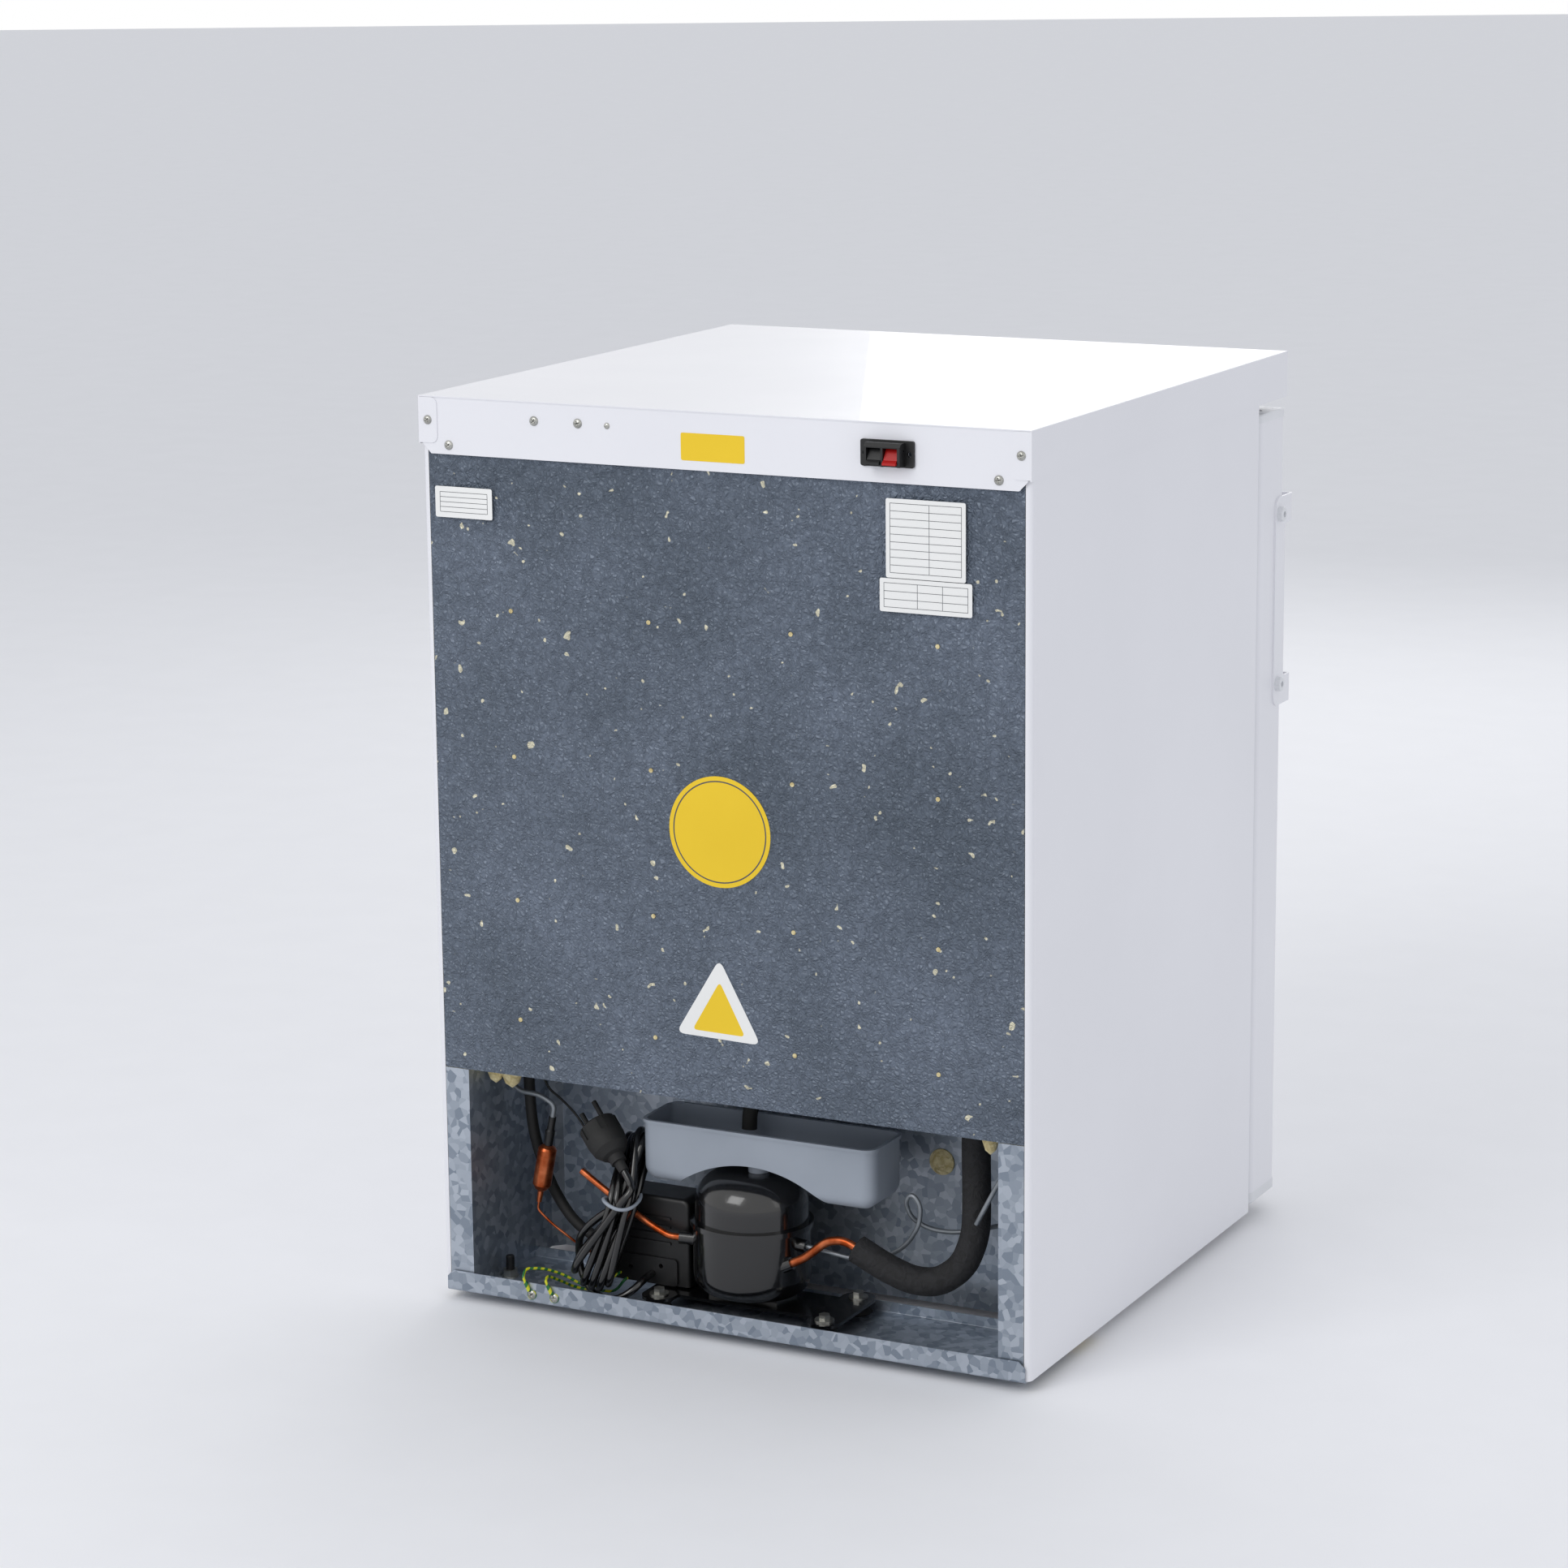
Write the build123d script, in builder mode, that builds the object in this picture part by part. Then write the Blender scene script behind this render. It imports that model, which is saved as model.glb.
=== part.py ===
# Undercounter laboratory refrigerator, free-standing, door hinged on the right.
# Millimetres. X points to the hinge side, Y to the rear, Z up. The origin lies on
# the floor, below the middle of the top cover.
import os
from math import cos, radians, sin, tan

from build123d import *

os.makedirs("parts", exist_ok=True)

# Overall sizes
lid_width = 600
lid_height = 43.5
total_height = 851
lid_sheet = 1.0
cabinet_front = -228
cabinet_depth = 528
shell_sheet = 1.0
foot_height = 9.8
tray_sheet = 1.2
door_gap = 5.0
door_depth = 62
lid_overhang = 5.0
cover_standoff = 1.8
cover_sheet = 1.2
clearance = 0.3
fit_clearance = 0.05
pocket_gap = 1.0

# Levels and planes that follow from them
cabinet_back = cabinet_front + cabinet_depth
lid_side = lid_width / 2
shell_side = lid_side - lid_sheet
lid_bottom = total_height - lid_height
shell_top = total_height - lid_sheet
shell_bottom = foot_height + tray_sheet
door_back = cabinet_front - door_gap
door_front = door_back - door_depth
lid_front = door_front - lid_overhang
cover_inner = cabinet_back + cover_standoff
cover_outer = cover_inner + cover_sheet
lid_back = cover_outer + lid_sheet

# Cabinet details
rear_bend = 5.0
rear_return = 6.0
front_flange = 24
liner_wall = 1.5
liner_side = 250
liner_bottom = 60
liner_top = 755
liner_back = 252
liner_bend = 12
step_front = 100
step_top = 273
panel_sheet = 1.0
panel_bottom = 226.5
panel_gap = 0.5
panel_lip = 14
vent_pitch = 140.7
vent_levels = (280.6, 393.3, 526.8, 660.4)
vent_radius = 2.2

# Machine bay
bay_side = 268
bay_back = 145
bay_top = 228
bay_fold = 10
bay_sheet = 0.8
tray_front = 187
tray_lip = 10
tray_upstand = 18.3
tray_side_gap = 4

# Door
door_skin_sheet = 1.0
door_bottom = 16
cap_height_top = 8
cap_height_bottom = 12
door_cap_top_z = 797
door_corner = 8.0
door_front_corner = 3.0
cap_lip = 2.0
door_return = 24
door_panel_wall = 1.5
hinge_inset = 15
hinge_from_back = 32
pin_radius = 4.0
hinge_plate = 3.0
gasket_width = 18
gasket_inset = 20
handle_sheet = 2.0
handle_bottom = 509
handle_top = 712.6
handle_arm = 27
handle_reach = 20
handle_screw_inset = 16.2

# Compressor
comp_x = 8
comp_y = 236
comp_half_x = 55
comp_half_y = 52
comp_bottom = 31
comp_seam = 98
comp_top = 146
bolt_pitch_x = 170
bolt_pitch_y = 70
bolt_x = 2
rail_width = 32
rail_sheet = 3.0
grommet_height = 12


def front_view(y):
    # Sketch plane seen from the front: local x to +X, local y up, normal to -Y
    return Plane(origin=(0, y, 0), x_dir=(1, 0, 0), z_dir=(0, -1, 0))


def rear_view(y):
    # Sketch plane seen from the rear: local x to -X, local y up, normal to +Y
    return Plane(origin=(0, y, 0), x_dir=(-1, 0, 0), z_dir=(0, 1, 0))


def side_view(x):
    # Sketch plane seen from the hinge side: local x to +Y, local y up
    return Plane(origin=(x, 0, 0), x_dir=(0, 1, 0), z_dir=(1, 0, 0))


def save(piece, name):
    piece.part.label = name
    export_step(piece.part, f"parts/{name}.step")


def block(low, high, mode=Mode.ADD):
    # A box between two opposite corners
    size = Vector(*high) - Vector(*low)
    with Locations((Vector(*high) + Vector(*low)) / 2):
        Box(size.X, size.Y, size.Z, mode=mode)


def fold(points, bends, sheet, plane, length):
    # A folded sheet: its middle line in plan, extruded along the plane's normal
    with BuildSketch(plane) as strip:
        with BuildLine():
            FilletPolyline(*points, radius=bends)
        trace(line_width=sheet)
    extrude(strip.sketch, amount=length)


def discs(plane, spots, radius, height, mode=Mode.ADD):
    # Equal round studs, or holes, on one plane
    with BuildSketch(plane) as circles:
        with Locations(*spots):
            Circle(radius)
    extrude(circles.sketch, amount=height, mode=mode)


def bend_radii(points, share=0.45):
    # The largest arcs that the runs on both sides of each corner allow
    route = [Vector(*point) for point in points]
    radii = []
    for before, corner, after in zip(route, route[1:], route[2:]):
        turn = (corner - before).get_angle(after - corner)
        shorter = min((corner - before).length, (after - corner).length)
        radii.append(share * shorter / tan(radians(turn) / 2))
    return radii


def tube(points, radius, mode=Mode.ADD):
    # A round tube or cord along straight runs and tangent arcs
    with BuildLine() as route:
        FilletPolyline(*points, radius=bend_radii(points))
    path = route.wires()[0]
    with BuildSketch(Plane(origin=path @ 0, z_dir=path % 0)) as section:
        Circle(radius)
    sweep(section.sketch, path=path, mode=mode)
    return path.length


def turned(start, direction, outline):
    # A body of revolution: outline points are (radius, distance along the axis)
    along = Vector(*direction).normalized()
    helper = Vector(1, 0, 0) if abs(along.Z) > 0.9 else Vector(0, 0, 1)
    across = along.cross(helper).normalized()
    with BuildSketch(Plane(origin=start, x_dir=across, z_dir=across.cross(along))) as half:
        with BuildLine():
            Polyline(*outline, close=True)
        make_face()
    revolve(half.sketch, axis=Axis(start, tuple(along)))


def cabinet_plan(plane, inset, front, back, corner):
    # Plan of the cabinet, with its two rounded rear corners
    with BuildSketch(plane) as plan:
        with Locations((0, (front + back) / 2)):
            Rectangle(2 * (shell_side - inset), back - front)
        fillet(plan.vertices().group_by(Axis.Y)[-1], corner)
    return plan.sketch


def liner_section(half_width, grow, mode):
    # Side section of the cold space, with the step over the machine bay
    with BuildSketch(side_view(-half_width)) as section:
        with BuildLine():
            FilletPolyline(
                (cabinet_front, liner_bottom),
                (step_front, liner_bottom),
                (step_front, step_top),
                (liner_back, step_top),
                (liner_back, liner_top),
                (cabinet_front, liner_top),
                radius=liner_bend,
                close=False,
            )
            Line((cabinet_front, liner_top), (cabinet_front, liner_bottom))
        make_face()
        if grow:
            offset(amount=grow, kind=Kind.INTERSECTION)
    extrude(section.sketch, amount=2 * half_width, mode=mode)


def bay_plan(plane, grow):
    # Plan of the machine bay, with its two folded front corners
    side = bay_side + grow
    front = bay_back - grow
    with BuildSketch(plane) as plan:
        with BuildLine():
            Polyline(
                (-side, cabinet_back - panel_sheet),
                (-side, front + bay_fold),
                (-side + bay_fold, front),
                (side - bay_fold, front),
                (side, front + bay_fold),
                (side, cabinet_back - panel_sheet),
                close=True,
            )
        make_face()
    return plan.sketch


# Outer shell: two folded sides, top, bottom and the front frame
with BuildPart() as outer_shell:
    side_line = shell_side - shell_sheet / 2
    back_line = cabinet_back - shell_sheet / 2
    for hand in (1, -1):
        fold(
            [
                (hand * side_line, cabinet_front),
                (hand * side_line, back_line),
                (hand * (shell_side - rear_return), back_line),
            ],
            rear_bend - shell_sheet / 2,
            shell_sheet,
            Plane.XY.offset(shell_bottom),
            shell_top - shell_bottom,
        )
    top_plane = Plane.XY.offset(shell_top - shell_sheet)
    extrude(cabinet_plan(top_plane, 0, cabinet_front, cabinet_back, rear_bend), amount=shell_sheet)
    block(
        (-shell_side, cabinet_front, shell_bottom),
        (shell_side, bay_back - bay_sheet, shell_bottom + shell_sheet),
    )
    shell_middle = (shell_bottom + shell_top) / 2
    shell_tall = shell_top - shell_bottom
    with BuildSketch(front_view(cabinet_front)):
        with Locations((0, shell_middle)):
            Rectangle(2 * shell_side, shell_tall)
            Rectangle(
                2 * (shell_side - front_flange),
                shell_tall - 2 * front_flange,
                mode=Mode.SUBTRACT,
            )
    extrude(amount=-shell_sheet)

# Inner liner: moulded box with a step, a front flange and shelf ledges
ledge_depth = 6
ledge_height = 8
ledge_levels = (150, 230, 310, 390, 470, 550, 630)
ledge_margin = 20
with BuildPart() as inner_liner:
    liner_section(liner_side + liner_wall, liner_wall, Mode.ADD)
    liner_section(liner_side, 0, Mode.SUBTRACT)
    block(
        (-shell_side, cabinet_front - 2 * liner_wall, 0),
        (shell_side, cabinet_front, shell_top),
        mode=Mode.SUBTRACT,
    )
    with BuildSketch(front_view(cabinet_front)):
        with Locations((0, shell_middle)):
            Rectangle(2 * (shell_side - front_flange), shell_tall - 2 * front_flange)
        with Locations((0, (liner_bottom + liner_top) / 2)):
            Rectangle(2 * liner_side, liner_top - liner_bottom, mode=Mode.SUBTRACT)
    extrude(amount=-liner_wall)
    for level in ledge_levels:
        rear_wall = step_front if level < step_top + ledge_height else liner_back
        for hand in (1, -1):
            wall = hand * liner_side
            lip = hand * (liner_side - ledge_depth)
            block(
                (min(wall, lip), cabinet_front + ledge_margin, level - ledge_height),
                (max(wall, lip), rear_wall - ledge_margin, level),
            )

# Back panel: dark sheet with foam vents and a folded lower lip
vent_columns = [(k - 1.5) * vent_pitch for k in range(4)]
vent_spots = [(x, z) for x in vent_columns for z in vent_levels]
panel_side = shell_side - rear_return - panel_gap
panel_front = cabinet_back - panel_sheet
cover_screw_spots = [(269.6, 807.3), (-269.6, 807.3), (181, 833.6), (136.5, 833.8)]
cover_screw_small = [(107, 833.2)]
flap_width = 19
flap_middle = total_height - lid_height / 2
flap_screw_spots = [(hand * (lid_side - flap_width / 2), flap_middle) for hand in (1, -1)]
screw_shank = 2.0
screw_hole = 2.2
screw_length = 9.0


def seen_from_rear(spots):
    # Local points on a rear-view plane
    return [(-x, z) for x, z in spots]


with BuildPart() as back_panel:
    block((-panel_side, panel_front, panel_bottom), (panel_side, cabinet_back, shell_top - shell_sheet))
    lip_side = bay_side - pocket_gap
    block(
        (-lip_side, panel_front - panel_lip, panel_bottom),
        (lip_side, panel_front, panel_bottom + panel_sheet),
    )
    discs(rear_view(panel_front), seen_from_rear(vent_spots), vent_radius, panel_sheet, Mode.SUBTRACT)
    rear_screws = cover_screw_spots + cover_screw_small
    discs(rear_view(panel_front), seen_from_rear(rear_screws), screw_hole, panel_sheet, Mode.SUBTRACT)

# Levelling feet: places shared by the feet, their nuts and the holes
rear_foot_x = 259
rear_foot_y = 249
front_foot_x = 235
front_foot_y = -195
stud_radius = 4.0
stud_top = 32
foot_spots = {
    "foot_rear_right": (rear_foot_x, rear_foot_y),
    "foot_rear_left": (-rear_foot_x, rear_foot_y),
    "foot_front_right": (front_foot_x, front_foot_y),
    "foot_front_left": (-front_foot_x, front_foot_y),
}
nut_radius = 7.5
nut_height = 6.0
washer_radius = 8.0
washer_sheet = 1.4
front_feet = [spot for spot in foot_spots.values() if spot[1] < 0]
rear_feet = [spot for spot in foot_spots.values() if spot[1] > 0]

# Hinge axis and the screw places of the two hinge brackets
hinge_x = shell_side - hinge_inset
hinge_y = door_back - hinge_from_back
bracket_inner = hinge_x - 22
bracket_front = hinge_y - 18
bracket_screw_spots = [(hinge_x - 14, 817), (hinge_x + 6, 817), (hinge_x - 4, 831)]
bracket_screw_hole = 2.6
bracket_screw_length = 12
bottom_screw_spots = [(hinge_x - 12, -212), (hinge_x + 8, -212), (hinge_x - 2, -198)]

# Insulation foam between shell and liner
foam_back = panel_front
with BuildPart() as cabinet_foam:
    foam_plane = Plane.XY.offset(shell_bottom + shell_sheet)
    foam_corner = rear_bend - shell_sheet
    foam_plan = cabinet_plan(foam_plane, shell_sheet, cabinet_front + liner_wall, foam_back, foam_corner)
    extrude(foam_plan, amount=shell_tall - 2 * shell_sheet)
    liner_section(liner_side + liner_wall, liner_wall, Mode.SUBTRACT)
    bay_hollow = bay_plan(Plane.XY.offset(shell_bottom), bay_sheet)
    extrude(bay_hollow, amount=bay_top + bay_sheet - shell_bottom, mode=Mode.SUBTRACT)
    discs(rear_view(foam_back), seen_from_rear(vent_spots), vent_radius - 0.2, panel_sheet + 0.4)
    rear_pocket = screw_length - cover_standoff - cover_sheet - panel_sheet + pocket_gap
    discs(rear_view(foam_back), seen_from_rear(rear_screws), screw_hole, -rear_pocket, Mode.SUBTRACT)
    discs(foam_plane, front_feet, washer_radius + pocket_gap, stud_top, Mode.SUBTRACT)
    discs(
        front_view(cabinet_front + liner_wall),
        bracket_screw_spots,
        bracket_screw_hole,
        -bracket_screw_length,
        Mode.SUBTRACT,
    )
    discs(foam_plane, bottom_screw_spots, bracket_screw_hole, bracket_screw_length, Mode.SUBTRACT)

with outer_shell:
    shell_floor = Plane.XY.offset(shell_bottom)
    discs(shell_floor, front_feet, stud_radius + 0.2, shell_sheet, Mode.SUBTRACT)
    discs(shell_floor, bottom_screw_spots, bracket_screw_hole, shell_sheet, Mode.SUBTRACT)
    discs(
        front_view(cabinet_front), bracket_screw_spots, bracket_screw_hole, -shell_sheet, Mode.SUBTRACT
    )
with inner_liner:
    discs(
        front_view(cabinet_front), bracket_screw_spots, bracket_screw_hole, -liner_wall, Mode.SUBTRACT
    )
save(outer_shell, "outer_shell")
save(inner_liner, "inner_liner")
save(back_panel, "back_panel")
save(cabinet_foam, "cabinet_foam")

# Machine bay liner: folded galvanised walls and ceiling
knock_out_x = -142
knock_out_z = 148
knock_out_radius = 12.5
with BuildPart() as bay_liner:
    wall_line = bay_side + bay_sheet / 2
    front_line = bay_back - bay_sheet / 2
    fold(
        [
            (-wall_line, cabinet_back - panel_sheet),
            (-wall_line, front_line + bay_fold),
            (-wall_line + bay_fold, front_line),
            (wall_line - bay_fold, front_line),
            (wall_line, front_line + bay_fold),
            (wall_line, cabinet_back - panel_sheet),
        ],
        1.0,
        bay_sheet,
        Plane.XY.offset(shell_bottom),
        bay_top - shell_bottom,
    )
    extrude(bay_plan(Plane.XY.offset(bay_top), bay_sheet / 2), amount=bay_sheet)
    discs(rear_view(bay_back), [(-knock_out_x, knock_out_z)], knock_out_radius, -bay_sheet, Mode.SUBTRACT)
save(bay_liner, "bay_liner")

# Rear corner posts beside the bay opening
upstand_top = foot_height + tray_sheet + tray_upstand
with BuildPart() as rear_posts:
    for hand in (1, -1):
        inner = hand * bay_side
        outer = hand * (shell_side - rear_return - panel_gap)
        block(
            (min(inner, outer), panel_front, shell_bottom),
            (max(inner, outer), cabinet_back, panel_bottom - panel_gap),
        )
save(rear_posts, "rear_posts")

# Base tray: floor, tall rear upstand with cut corners, low front upstand
tray_back = cabinet_back + 3
tray_side = shell_side - tray_side_gap
compressor_bolts = [
    (bolt_x + hand_x * bolt_pitch_x / 2, comp_y + hand_y * bolt_pitch_y / 2)
    for hand_x in (1, -1)
    for hand_y in (1, -1)
]
bolt_radius = 3.0
earth_screw_x = (204, 180)
earth_screw_z = 18
with BuildPart() as base_tray:
    floor_line = foot_height + tray_sheet / 2
    with BuildSketch(side_view(-tray_side)):
        with BuildLine():
            FilletPolyline(
                (tray_front, shell_bottom + tray_lip),
                (tray_front, floor_line),
                (tray_back - tray_sheet / 2, floor_line),
                (tray_back - tray_sheet / 2, upstand_top),
                radius=1.5,
            )
        trace(line_width=tray_sheet)
    extrude(amount=2 * tray_side)
    corner_cut = 6
    for hand in (1, -1):
        with BuildSketch(rear_view(tray_back)):
            with BuildLine():
                Polyline(
                    (hand * tray_side, upstand_top - corner_cut),
                    (hand * tray_side, upstand_top),
                    (hand * (tray_side - corner_cut), upstand_top),
                    close=True,
                )
            make_face()
        extrude(amount=-tray_sheet, mode=Mode.SUBTRACT)
        block(
            (min(hand * bay_side, hand * tray_side), tray_front - tray_sheet, shell_bottom),
            (max(hand * bay_side, hand * tray_side), tray_front + tray_sheet, shell_bottom + tray_lip),
            mode=Mode.SUBTRACT,
        )
    tray_plane = Plane.XY.offset(foot_height)
    discs(tray_plane, rear_feet, stud_radius + 0.2, tray_sheet, Mode.SUBTRACT)
    discs(tray_plane, compressor_bolts, bolt_radius + 0.3, tray_sheet, Mode.SUBTRACT)
    earth_spots = [(-x, earth_screw_z) for x in earth_screw_x]
    discs(rear_view(tray_back), earth_spots, screw_hole, -tray_sheet, Mode.SUBTRACT)
save(base_tray, "base_tray")

# Top cover: folded worktop sheet with side skirts and two rear flaps
fascia_lip = 6.5
flap_corner = 6
with BuildPart() as top_cover:
    lid_join = lid_front + fascia_lip
    lid_middle = (lid_bottom + total_height) / 2
    with BuildSketch(front_view(lid_join)) as lid_section:
        with Locations((0, lid_middle)):
            Rectangle(lid_width, lid_height)
        fillet(lid_section.vertices().group_by(Axis.Y)[-1], 0.9 * lid_sheet)
        with Locations((0, lid_middle - lid_sheet / 2)):
            Rectangle(2 * shell_side, lid_height - lid_sheet, mode=Mode.SUBTRACT)
    extrude(amount=lid_join - lid_back)
    for hand in (1, -1):
        with BuildSketch(rear_view(lid_back)) as flap:
            with Locations((hand * (lid_side - flap_width / 2), flap_middle)):
                Rectangle(flap_width, lid_height - 2.4)
            inner_edge = Axis.X if hand < 0 else Axis.X.reverse()
            fillet(flap.vertices().group_by(inner_edge)[-1], flap_corner)
        extrude(amount=-lid_sheet)
    discs(rear_view(lid_back), seen_from_rear(flap_screw_spots), screw_hole, -lid_sheet, Mode.SUBTRACT)
save(top_cover, "top_cover")

# Front fascia: folded face of the top cover, with the controller cut-out
fascia_sheet = 1.5
fascia_floor = 58
control_x = 0
control_width = 70
control_height = 28
control_depth = 58
bezel_width = 76
bezel_height = 34
bezel_depth = 3
with BuildPart() as front_fascia:
    fascia_middle = (lid_bottom + total_height) / 2
    with BuildSketch(front_view(lid_front + fascia_lip)):
        with Locations((0, fascia_middle)):
            Rectangle(lid_width, lid_height)
            Rectangle(lid_width - 2 * fascia_sheet, lid_height - 2 * fascia_sheet, mode=Mode.SUBTRACT)
    extrude(amount=fascia_lip)
    with BuildSketch(front_view(lid_front)):
        with Locations((0, fascia_middle)):
            Rectangle(lid_width, lid_height)
    extrude(amount=-fascia_sheet)
    block(
        (-lid_side + fascia_sheet, lid_front, lid_bottom),
        (lid_side - fascia_sheet, lid_front + fascia_floor, lid_bottom + fascia_sheet),
    )
    fillet(front_fascia.edges().filter_by(Axis.X).group_by(Axis.Y)[0], 1.0)
    with BuildSketch(front_view(lid_front)):
        with Locations((control_x, fascia_middle)):
            Rectangle(control_width + 1, control_height + 1)
    extrude(amount=-fascia_sheet, mode=Mode.SUBTRACT)
save(front_fascia, "front_fascia")

# Rear cover strip: its lower hem stands on the back panel
cover_side = 296
cover_bottom = 799
cover_corner = 8
with BuildPart() as rear_cover:
    with BuildSketch(rear_view(cover_inner)) as strip:
        with Locations((0, (cover_bottom + shell_top) / 2)):
            Rectangle(2 * cover_side, shell_top - cover_bottom)
        chamfer(strip.vertices().group_by(Axis.Y)[0], cover_corner)
    extrude(amount=cover_sheet)
    hem_side = cover_side - cover_corner
    block(
        (-hem_side, cabinet_back, cover_bottom), (hem_side, cover_inner, cover_bottom + cover_sheet)
    )
    all_cover_holes = rear_screws + flap_screw_spots
    discs(rear_view(cover_inner), seen_from_rear(all_cover_holes), screw_hole, cover_sheet, Mode.SUBTRACT)

# Spring terminal plate: where it sits on the rear cover
terminal_x = -166.65
terminal_z = 824.5
terminal_width = 50.3
terminal_height = 23
terminal_sheet = 2.5
terminal_body_width = 34
terminal_body_height = 20
terminal_body_depth = 11
terminal_screw_pitch = 42
bay_width = 13.5
bay_wall = 2.0
lever_gap = 0.4
lever_pivot_y = cover_outer + 5.5
lever_pivot_z = terminal_z + 3.2
lever_pin = 1.0
terminal_screws = [(terminal_x + hand * terminal_screw_pitch / 2, terminal_z) for hand in (1, -1)]
with rear_cover:
    discs(rear_view(cover_inner), seen_from_rear(terminal_screws), screw_hole, cover_sheet, Mode.SUBTRACT)
save(rear_cover, "rear_cover")

with BuildPart() as terminal_block:
    with BuildSketch(rear_view(cover_outer)):
        with Locations((-terminal_x, terminal_z)):
            RectangleRounded(terminal_width, terminal_height, 2)
    extrude(amount=terminal_sheet)
    with BuildSketch(rear_view(cover_outer + terminal_sheet)):
        with Locations((-terminal_x, terminal_z)):
            Rectangle(terminal_body_width, terminal_body_height)
    extrude(amount=terminal_body_depth)
    hood_edge = terminal_block.edges().filter_by(Axis.X).group_by(Axis.Y)[-1].sort_by(Axis.Z)
    chamfer(hood_edge[-1], 3)
    for hand in (1, -1):
        middle = terminal_x + hand * (bay_width + bay_wall) / 2
        block(
            (middle - bay_width / 2, cover_outer + terminal_sheet, terminal_z - terminal_body_height / 2),
            (middle + bay_width / 2, lid_back + 20, terminal_z + 6),
            mode=Mode.SUBTRACT,
        )
    with BuildSketch(side_view(terminal_x - terminal_body_width / 2)):
        with Locations((lever_pivot_y, lever_pivot_z)):
            Circle(lever_pin + fit_clearance)
    extrude(amount=terminal_body_width, mode=Mode.SUBTRACT)
    discs(rear_view(cover_outer), seen_from_rear(terminal_screws), screw_hole, terminal_sheet, Mode.SUBTRACT)
save(terminal_block, "terminal_block")

# Terminal levers: wedge with a foot, turning on a pin in the side walls
lever_pin_reach = 0.9
for name, hand in (("lever_black", 1), ("lever_red", -1)):
    middle = terminal_x + hand * (bay_width + bay_wall) / 2
    lever_half = bay_width / 2 - lever_gap
    with BuildPart() as lever:
        with BuildSketch(side_view(middle - lever_half)):
            with BuildLine():
                Polyline(
                    (lever_pivot_y - 1.6, lever_pivot_z + 1.2),
                    (lever_pivot_y + 1.8, lever_pivot_z + 1.6),
                    (lever_pivot_y + 7.5, lever_pivot_z - 7.5),
                    (lever_pivot_y + 10.5, lever_pivot_z - 9.5),
                    (lever_pivot_y + 10.5, lever_pivot_z - 11.5),
                    (lever_pivot_y + 3.5, lever_pivot_z - 11.0),
                    close=True,
                )
            make_face()
        extrude(amount=2 * lever_half)
        pin_half = bay_width / 2 + lever_pin_reach
        with BuildSketch(side_view(middle - pin_half)):
            with Locations((lever_pivot_y, lever_pivot_z)):
                Circle(lever_pin)
        extrude(amount=2 * pin_half)
    save(lever, name)

# Controller in the fascia: housing with bezel, window recess and button wells
bezel_front = lid_front - bezel_depth
window_x = control_x - 12
window_width = 42
window_height = 20
window_depth = 1.2
button_radius = 3.0
button_pitch = 9.0
button_first = control_x + 16
button_travel = 0.6
button_rise = 0.9
well_depth = 2.4
button_spots = [(button_first, fascia_middle - 6), (button_first + button_pitch, fascia_middle - 6)]
button_spots.append((button_first + button_pitch / 2, fascia_middle + 6))
with BuildPart() as controller:
    with BuildSketch(front_view(lid_front)):
        with Locations((control_x, fascia_middle)):
            RectangleRounded(bezel_width, bezel_height, 3)
    extrude(amount=bezel_depth)
    fillet(controller.faces().sort_by(Axis.Y)[0].edges(), 1.2)
    with BuildSketch(front_view(lid_front)):
        with Locations((control_x, fascia_middle)):
            Rectangle(control_width, control_height)
    extrude(amount=-control_depth)
    with BuildSketch(front_view(bezel_front)):
        with Locations((window_x, fascia_middle)):
            RectangleRounded(window_width, window_height, 1.5)
    extrude(amount=-window_depth, mode=Mode.SUBTRACT)
    discs(front_view(bezel_front), button_spots, button_radius + clearance, -well_depth, Mode.SUBTRACT)
save(controller, "controller")

with BuildPart() as display_window:
    with BuildSketch(front_view(bezel_front)):
        with Locations((window_x, fascia_middle)):
            RectangleRounded(window_width, window_height, 1.5)
    extrude(amount=-window_depth)
save(display_window, "display_window")

for number, spot in enumerate(button_spots, start=1):
    with BuildPart() as button:
        discs(front_view(bezel_front + well_depth - button_travel - 0.2), [spot], button_radius,
              button_rise + well_depth - button_travel - 0.2)
        fillet(button.faces().sort_by(Axis.Y)[0].edges(), 0.5)
    save(button, f"button_{number}")

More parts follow.
